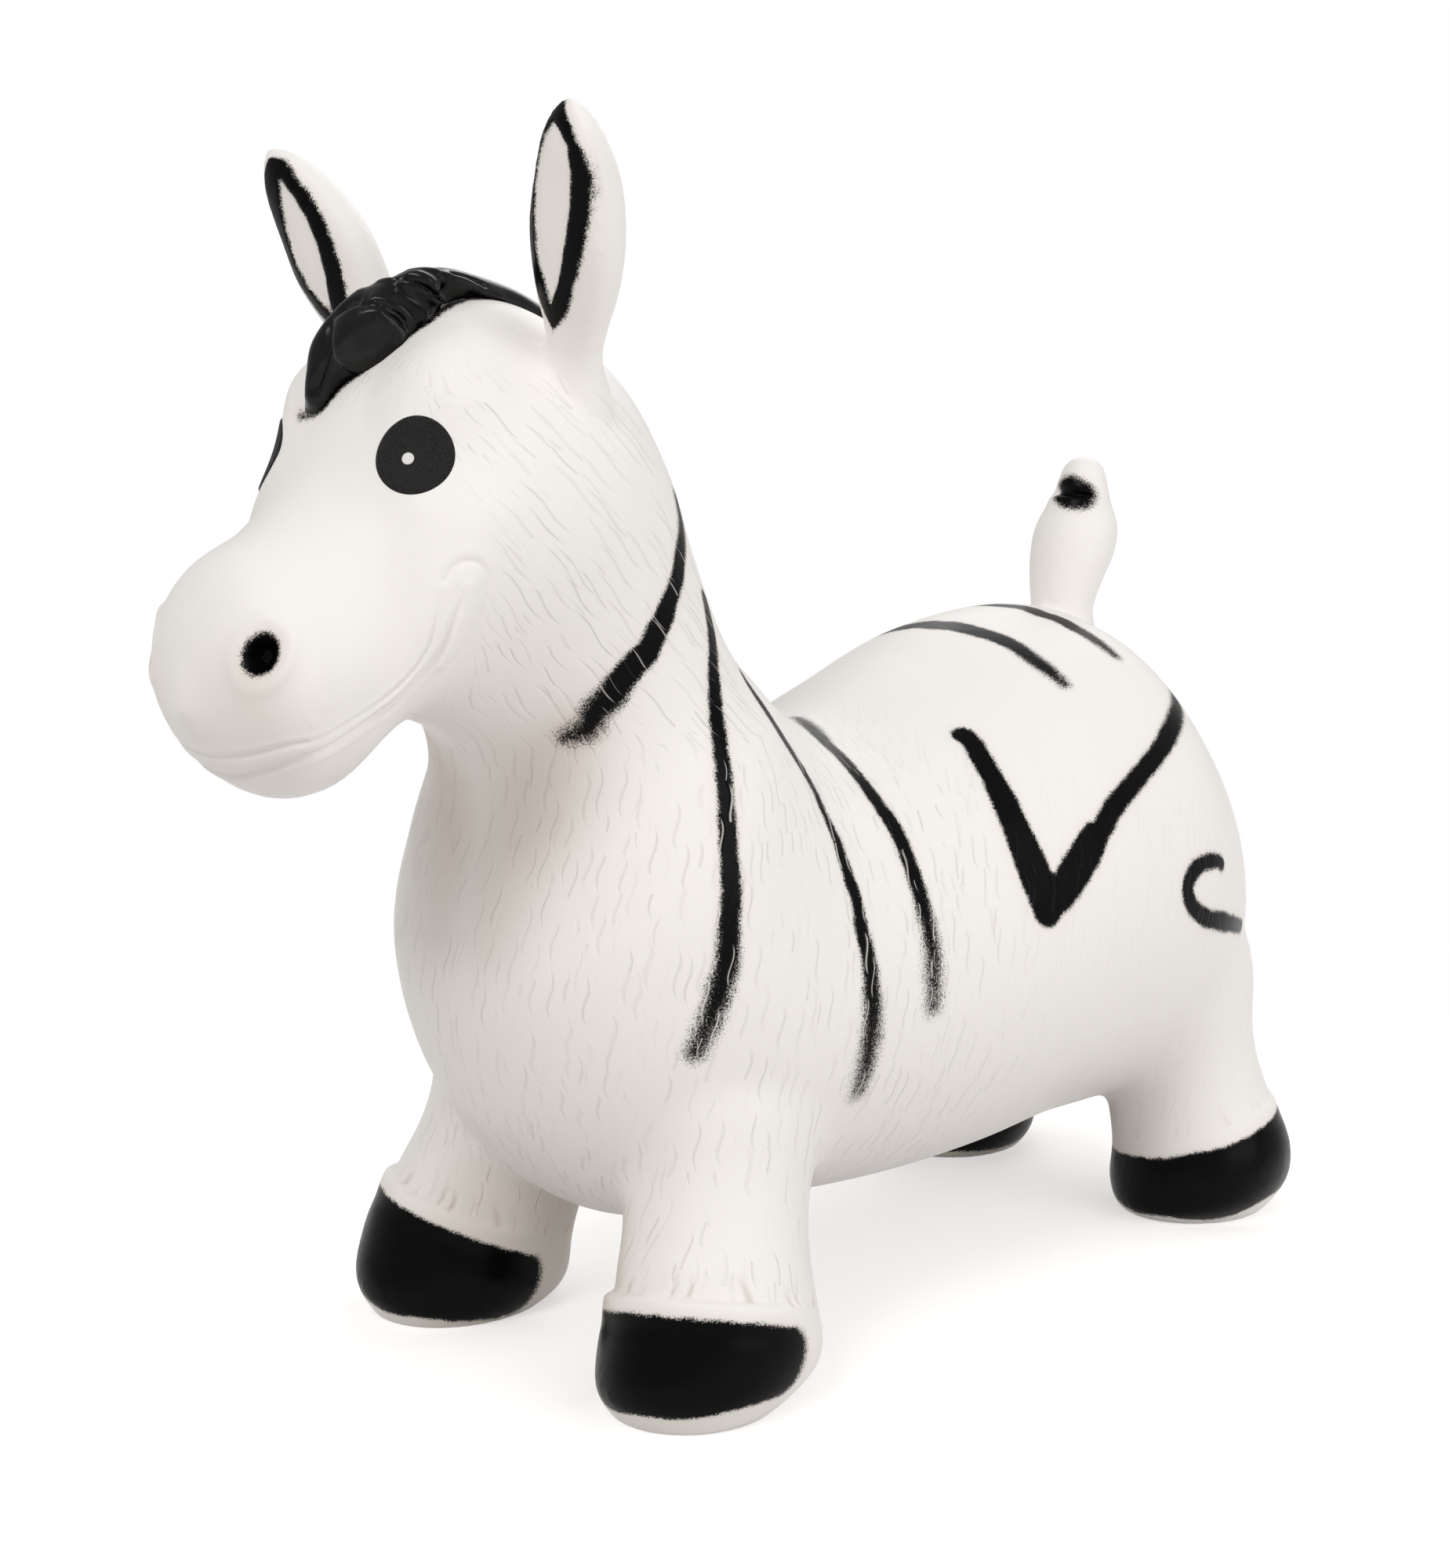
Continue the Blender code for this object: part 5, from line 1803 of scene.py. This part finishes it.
@dataclass(frozen=True)
class ClearVinyl(Finish):
    """Dull milky vinyl of the air plug."""

    name: str = "milky_plug_vinyl"
    pale: tuple = (0.62, 0.61, 0.58, 1.0)
    dark: tuple = (0.50, 0.48, 0.45, 1.0)

    def dress(self, sheet: Sheet, shader: bpy.types.Node) -> None:
        """Clouds the vinyl and its gloss, with a fine grain.

        Args:
            sheet: the material's nodes.
            shader: its shader.
        """
        place = sheet.object_place()
        cloud = sheet.noise(place, 300.0)
        sheet.feed(shader.inputs["Base Color"], sheet.mix(cloud, self.pale, self.dark))
        sheet.feed(shader.inputs["Roughness"], sheet.ramp(cloud, 0.3, 0.7, 0.42, 0.55))
        sheet.raise_by(shader, sheet.noise(place, 1500.0), 0.0001)


@dataclass(frozen=True)
class CollarVinyl(ClearVinyl):
    """The skin's white vinyl, thicker and smoother, round the air valve."""

    name: str = "valve_collar_vinyl"
    pale: tuple = (0.870, 0.842, 0.815, 1.0)
    dark: tuple = (0.800, 0.772, 0.742, 1.0)


# ---------------------------------------------------------------- pieces


def linked(name: str, mesh: bpy.types.Mesh) -> bpy.types.Object:
    """An object of the mesh, at the origin, in the scene.

    Args:
        name: the object's name.
        mesh: its mesh.

    Returns:
        the object.
    """
    made = bpy.data.objects.new(name, mesh)
    bpy.context.scene.collection.objects.link(made)
    return made


def set_attribute(mesh: bpy.types.Mesh, name: str, values: Points) -> None:
    """Keeps numbers or vectors with the mesh's points."""
    kind, key = ("FLOAT_VECTOR", "vector") if values.ndim == 2 else ("FLOAT", "value")
    mesh.attributes.new(name, kind, "POINT").data.foreach_set(key, values.astype(np.float32).ravel())


@dataclass
class SkinPieces:
    """The skin divided along its seams, each piece on its own body."""

    skin: Skin
    surface: Surface

    def __post_init__(self) -> None:
        """Lays edges along every seam, then works out normals and paint for the whole skin."""
        skin, surface = self.skin, self.surface
        up = skin.neck.normal()
        for drop in (0.0, skin.neck.length):
            surface = surface.cut(np.array(skin.neck.point) - drop * up, up, anywhere, skin.snap)
        for leg in skin.legs:
            for rise in (0.0, leg.flex):
                top = leg.centre(leg.hoof_top) + rise * leg.normal()
                surface = surface.cut(top, leg.normal(), leg.near, skin.snap)
        for part, axis in [(ear, ear.axes()[0]) for ear in skin.ears] + [(skin.tail, np.array((0.0, 0.0, 1.0)))]:
            for point in part.seams():
                surface = surface.cut(point, axis, part.near, skin.snap)
        self.surface = surface
        self.normals = surface.normals()
        self.middles = surface.points[surface.triangles].mean(1)
        self.values = skin.paint(surface.points, self.normals)
        flat = np.cross(self.normals, (0.0, 0.0, 1.0))
        self.values["fur_side"] = unit(flat)
        self.values["skin_place"] = surface.points

    def piece(self, name: str, chosen: Points, slot: Slot, nodes: tuple[str, ...]) -> bpy.types.Object:
        """One piece of the skin, with the whole skin's normals, standing for its CAD nodes.

        Args:
            name: the piece's name.
            chosen: for each triangle, whether it belongs.
            slot: the record's slot; not used.
            nodes: the CAD nodes that it stands for.

        Returns:
            The object.
        """
        used, triangles = np.unique(self.surface.triangles[chosen], return_inverse=True)
        mesh = mesh_from(name, Surface(self.surface.points[used], triangles.reshape(-1, 3)))
        mesh.normals_split_custom_set_from_vertices(self.normals[used])
        for key, values in self.values.items():
            set_attribute(mesh, key, values[used])
        mesh.materials.append(PaintedVinyl().material())
        made = linked(name, mesh)
        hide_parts(*nodes)
        log.info("%s: %d triangles", name, len(triangles) // 3)
        return made

    def make(self) -> None:
        """Makes every piece of the skin, and puts each on its body; the flexing pieces between bodies are left
        unattached.
        """
        skin, middles = self.skin, self.middles
        left = (from_valve(middles) > VALVE_HOLE) | (middles[:, 2] > BELLY_TOP)

        def take(region: Points) -> Points:
            """The region's triangles that no piece has yet, which it then has.

            Args:
                region: True for the triangles wanted.

            Returns:
                True for the triangles taken.
            """
            taken = region & left
            left[taken] = False
            return taken

        for leg in skin.legs:
            near, height = leg.near(middles), leg.height_over_hoof(middles)
            hoof = self.piece(f"{leg.name}_hoof_skin", take(near & (height < 0)), Slot.PAINT, (f"{leg.name}_hoof",))
            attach(hoof, f"{leg.name}_hoof")
            zone = self.piece(f"{leg.name}_leg_skin", take(near & (height < leg.flex)), Slot.SKIN, (f"{leg.name}_leg",))
            top = leg.centre(leg.hoof_top)
            top + leg.flex * leg.normal()
            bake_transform(zone)
        for ear in skin.ears:
            name = SIDES[ear.side]
            low, high = ear.seams()
            axis = ear.axes()[0]
            near = ear.near(middles)
            upper = take(near & ((middles - high) @ axis > 0))
            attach(self.piece(f"{name}_ear_skin", upper, Slot.SKIN, (f"{name}_ear",)), f"{name}_ear")
            lower = take(near & ((middles - low) @ axis > 0))
            root = self.piece(f"{name}_ear_root_skin", lower, Slot.SKIN, (f"{name}_ear_root",))
            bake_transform(root)
        low, high = skin.tail.seams()
        near = skin.tail.near(middles)
        upper = take(near & (middles[:, 2] > high[2]))
        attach(self.piece("tail_skin", upper, Slot.SKIN, ("tail",)), "tail")
        root = self.piece("tail_root_skin", take(near & (middles[:, 2] > low[2])), Slot.SKIN, ("tail_root",))
        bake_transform(root)
        height = skin.neck.height(middles)
        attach(self.piece("head_surface", take(height > 0), Slot.SKIN, ("head_skin",)), "head")
        neck = self.piece("neck_surface", take(height > -skin.neck.length), Slot.SKIN, ("neck_skin",))
        up = np.array(skin.neck.point)
        up - skin.neck.length * skin.neck.normal()
        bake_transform(neck)
        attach(self.piece("body_surface", take(left.copy()), Slot.SKIN, ("body_skin",)), "body")


@dataclass(frozen=True)
class SkinPatch:
    """A small part of the skin as a smooth surface over its own plane: height = the sum of c u^i v^j, i + j < 6."""

    surface: Surface
    centre: Points
    facing: Points
    aside: Points
    reach: float

    def axes(self) -> tuple[Points, Points, Points]:
        """Unit directions aside, up and out of the plane.

        Returns:
            the three directions.
        """
        facing = unit(np.array(self.facing, float))
        aside = unit(np.array(self.aside) - np.dot(self.aside, facing) * facing)
        return aside, np.cross(facing, aside), facing

    def terms(self, u: Points, v: Points) -> Points:
        """The products u^i v^j with i + j < 6, in units of the reach."""
        u, v = u / self.reach, v / self.reach
        return np.stack([u**i * v**j for i in range(6) for j in range(6 - i)], -1)

    def place(self, u: Points, v: Points, lift: Points) -> Points:
        """Points over the skin: C + u A + v B + (height + lift) F, the height from a least squares fit.

        Args:
            u: places aside.
            v: places upward.
            lift: how far over the skin.

        Returns:
            the points.
        """
        aside, up, facing = self.axes()
        offset = self.surface.points - self.centre
        offset = offset[np.linalg.norm(offset, axis=1) < self.reach]
        found = np.linalg.lstsq(self.terms(offset @ aside, offset @ up), offset @ facing, rcond=None)[0]
        height = self.terms(u, v) @ found + lift
        return self.centre + u[..., None] * aside + v[..., None] * up + height[..., None] * facing


@dataclass(frozen=True)
class Eye:
    """A thin printed disc on the face, a little domed, with a white dot."""

    side: float
    radius: float = 0.0146
    dot: tuple = (-0.0021, -0.0012, 0.0022)
    lift: float = 0.0006
    dome: float = 0.0004
    rings: int = 28
    sides: int = 96

    def make(self, surface: Surface) -> bpy.types.Object:
        """The disc, laid on the skin: u = r s cos(t), v = r s sin(t), its lift rounded down over the last tenth.

        Args:
            surface: the skin.

        Returns:
            The object, on the head.
        """
        name = f"{SIDES[self.side]}_eye_disc"
        centre = np.array(EYE_PLACE if self.side > 0 else RIGHT_EYE_PLACE)
        patch = SkinPatch(surface, centre, (0.68 * self.side, -0.70, 0.20), (0.70, 0.68 * self.side, 0.0), 0.021)
        share = np.linspace(0.0, 1.0, self.rings)[1:, None]
        angle = turns(self.sides)[None, :]
        rounded = 1 - np.clip((share - 0.90) / 0.10, 0, 1) ** 2 * 0.85
        lift = self.lift * rounded + self.dome * (1 - share**2)
        rows = np.vstack((share, [[1.0]]))
        lift = np.vstack((lift, [[-0.0008]]))
        rings = patch.place(self.radius * rows * np.cos(angle), self.radius * rows * np.sin(angle), lift)
        disc = loft(rings)
        mesh = mesh_from(name, disc)
        aside, up, _ = patch.axes()
        offset = disc.points - centre
        from_dot = np.hypot(offset @ aside - self.dot[0] * self.side, offset @ up - self.dot[1]) / self.dot[2]
        set_attribute(mesh, "from_dot", from_dot)
        mesh.materials.append(EyePrint().material())
        made = linked(name, mesh)
        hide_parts(f"{SIDES[self.side]}_eye")
        log.info("%s: %d triangles", name, len(disc.triangles))
        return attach(made, "head")


@dataclass(frozen=True)
class Valve:
    """The air valve under the belly: a moulded collar with its bore, and the push-in plug.

    Both profiles give rows of radius and height over the belly's skin in millimetres, less than 0 outside it.
    """

    sides: int = 72
    collar: tuple = (
        (4.0, 13.4), (4.0, 13.0), (4.0, 2.8), (4.2, 2.6), (7.5, 2.6), (7.8, 2.5), (7.8, 0.2), (7.9, -0.2),
        (8.3, -0.5), (9.0, -0.6), (11.2, -0.6), (12.2, -0.45), (12.9, 0.0), (13.1, 0.5), (12.6, 1.6), (6.4, 4.0),
        (6.0, 4.6), (6.0, 14.2), (5.8, 14.4),
    )
    plug: tuple = (
        (2.0, 0.45), (5.2, 0.40), (5.7, 0.20), (6.1, 0.02), (6.9, 0.0), (7.3, 0.15), (7.5, 0.5), (7.5, 1.8),
        (7.3, 2.15), (6.9, 2.25), (4.0, 2.25), (3.7, 2.5), (3.7, 12.8), (3.6, 13.1), (3.0, 14.7), (2.7, 15.0),
    )

    def lathe(self, profile: tuple, steps: int) -> Points:
        """Rings: r cos(t), r sin(t) and the height, for each row of the profile, with rows between them.

        Args:
            profile: radius and height of each row in millimetres.
            steps: rows between two rows given.

        Returns:
            the points of the rings, by ring and by side.
        """
        rows = np.array(profile) * MM
        places = np.linspace(0, len(rows) - 1, (len(rows) - 1) * steps + 1)
        radius, height = (np.interp(places, np.arange(len(rows)), rows[:, k])[:, None] for k in (0, 1))
        angle = turns(self.sides)[None, :]
        return np.stack((radius * np.cos(angle), radius * np.sin(angle), height + 0 * angle), -1)

    def make(self, surface: Surface) -> None:
        """Lays the collar on the belly's skin, and puts the plug into it.

        Args:
            surface: the skin.
        """
        around = from_valve(surface.points)
        under = (around < 0.02) & (surface.points[:, 2] < BELLY_TOP)
        centre = np.array((*VALVE_PLACE, surface.points[under, 2].min()))
        patch = SkinPatch(surface, centre, (0.0, 0.0, -1.0), (1.0, 0.0, 0.0), 0.022)
        rings = self.lathe(self.collar, 1)
        flat = np.clip((np.hypot(rings[..., 0], rings[..., 1]) - 0.0078) / 0.004, 0, 1)
        laid = patch.place(rings[..., 0], rings[..., 1], -rings[..., 2])
        level = centre + rings * (1.0, -1.0, 1.0)
        self.piece("valve_collar", loft(level * (1 - flat[..., None]) + laid * flat[..., None]), Slot.SKIN, "body")
        plug = self.piece("air_plug", loft(centre + self.lathe(self.plug, 2)), Slot.PLUG, "valve_plug")
        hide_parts("valve_plug")

    def piece(self, name: str, shape: Surface, slot: Slot, body: str) -> bpy.types.Object:
        """One part of the valve on its body.

        Args:
            name: the part's name.
            shape: its surface.
            slot: the record's slot.
            body: the body that it moves with.

        Returns:
            The object.
        """
        mesh = mesh_from(name, shape)
        mesh.materials.append(ClearVinyl().material() if slot is Slot.PLUG else CollarVinyl().material())
        made = linked(name, mesh)
        log.info("%s: %d triangles", name, len(shape.triangles))
        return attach(made, body)


# ---------------------------------------------------------------- studio


@dataclass(frozen=True)
class Studio:
    """Pale floor, plain soft light, and the camera."""

    camera_place: tuple = (0.70416, -0.72326, 0.3705)
    camera_right: tuple = (0.70463, 0.70957, 0.0)
    camera_down: tuple = (0.09842, -0.09774, -0.99033)
    camera_forward: tuple = (-0.70271, 0.69782, -0.13871)
    lens: float = 52.43
    floor_colour: tuple = (0.70, 0.685, 0.67, 1.0)
    lamps: tuple = (
        ("key", (0.5, -1.9, 2.1), 1.0, 21.0, (1.0, 0.99, 0.97)),
        ("fill", (2.3, 0.3, 1.1), 1.8, 21.0, (0.98, 0.985, 1.0)),
        ("back", (-1.0, 1.8, 1.8), 1.6, 14.0, (1.0, 1.0, 1.0)),
    )

    def floor(self) -> None:
        """A wide pale floor that keeps the object's shadow near it and shows white farther out."""
        size = 6.0
        corners = np.array(((-size, -size, 0.0), (size, -size, 0.0), (size, size, 0.0), (-size, size, 0.0)))
        mesh = bpy.data.meshes.new("floor")
        mesh.from_pydata(corners - (0.0, 0.0, 0.0002), [], [(0, 1, 2, 3)])
        material = bpy.data.materials.new("pale_floor")
        material.use_nodes = True
        sheet = Sheet(material.node_tree)
        nodes = material.node_tree.nodes
        shader = nodes["Principled BSDF"]
        shader.inputs["Base Color"].default_value = self.floor_colour
        shader.inputs["Roughness"].default_value = 0.9
        white = sheet.node("ShaderNodeEmission")
        white.inputs["Color"].default_value = (1.0, 1.0, 1.0, 1.0)
        rays = sheet.node("ShaderNodeLightPath")
        seen = sheet.math("MAXIMUM", rays.outputs["Is Camera Ray"], rays.outputs["Is Glossy Ray"])
        seen = sheet.math("MAXIMUM", seen, rays.outputs["Is Transmission Ray"])
        away = sheet.vector("LENGTH", sheet.object_place()).outputs["Value"]
        glow = sheet.node("ShaderNodeEmission")
        sheet.feed(glow.inputs["Strength"], sheet.math("MULTIPLY", seen, 0.5))
        added = sheet.node("ShaderNodeAddShader", in_0=shader.outputs[0], in_1=glow.outputs[0])
        mixed = sheet.node("ShaderNodeMixShader", in_0=sheet.math("MULTIPLY", seen, sheet.ramp(away, 0.35, 0.80)))
        sheet.feed(mixed.inputs[1], added.outputs[0])
        sheet.feed(mixed.inputs[2], white.outputs[0])
        sheet.feed(nodes["Material Output"].inputs["Surface"], mixed.outputs[0])
        mesh.materials.append(material)
        linked("floor", mesh)

    def world(self) -> None:
        """Even light all round, seen as white behind the object."""
        world = bpy.data.worlds.new("studio")
        world.use_nodes = True
        bpy.context.scene.world = world
        sheet = Sheet(world.node_tree)
        light = world.node_tree.nodes["Background"]
        light.inputs["Color"].default_value = (1.0, 0.99, 0.98, 1.0)
        light.inputs["Strength"].default_value = 0.57
        white = sheet.node("ShaderNodeBackground")
        white.inputs["Color"].default_value = (1.0, 1.0, 1.0, 1.0)
        rays = sheet.node("ShaderNodeLightPath")
        seen = sheet.math("MAXIMUM", rays.outputs["Is Camera Ray"], rays.outputs["Is Transmission Ray"])
        mixed = sheet.node("ShaderNodeMixShader", in_0=seen)
        sheet.feed(mixed.inputs[1], light.outputs[0])
        sheet.feed(mixed.inputs[2], white.outputs[0])
        sheet.feed(world.node_tree.nodes["World Output"].inputs["Surface"], mixed.outputs[0])

    def light(self) -> None:
        """Large soft lamps round the object."""
        for name, place, size, power, colour in self.lamps:
            lamp = bpy.data.lights.new(name, "AREA")
            lamp.size, lamp.energy, lamp.color = size, power, colour
            made = bpy.data.objects.new(name, lamp)
            made.location = place
            made.rotation_mode = "QUATERNION"
            made.rotation_quaternion = (Vector(place) - Vector((0.0, 0.0, 0.2))).to_track_quat("Z", "Y")
            bpy.context.scene.collection.objects.link(made)

    def camera(self) -> None:
        """The camera at the photograph's place and angle."""
        data = bpy.data.cameras.new("camera")
        data.sensor_fit, data.sensor_height, data.lens = "VERTICAL", 36.0, self.lens
        data.clip_start, data.clip_end = 0.01, 50.0
        made = bpy.data.objects.new("camera", data)
        right, down, forward = (np.array(v) for v in (self.camera_right, self.camera_down, self.camera_forward))
        turn = np.column_stack((right, -down, -forward))
        made.matrix_world = Matrix.Translation(self.camera_place) @ Matrix(turn.tolist()).to_4x4()
        bpy.context.scene.collection.objects.link(made)
        bpy.context.scene.camera = made

    def make(self) -> None:
        """Sets up the whole studio."""
        bpy.context.scene.view_settings.view_transform = "Standard"
        self.floor()
        self.world()
        self.light()
        self.camera()


def main() -> None:
    """Builds every piece, then the studio."""
    logging.basicConfig(level=logging.INFO, format="%(message)s")
    skin = Skin()
    surface = skin.relief(skin.shape())
    pieces = SkinPieces(skin, surface)
    pieces.make()
    for side in SIDES:
        Eye(side).make(surface)
    Valve().make(surface)
    Mane().make()
    Studio().make()


if __name__ == "__main__":
    main()
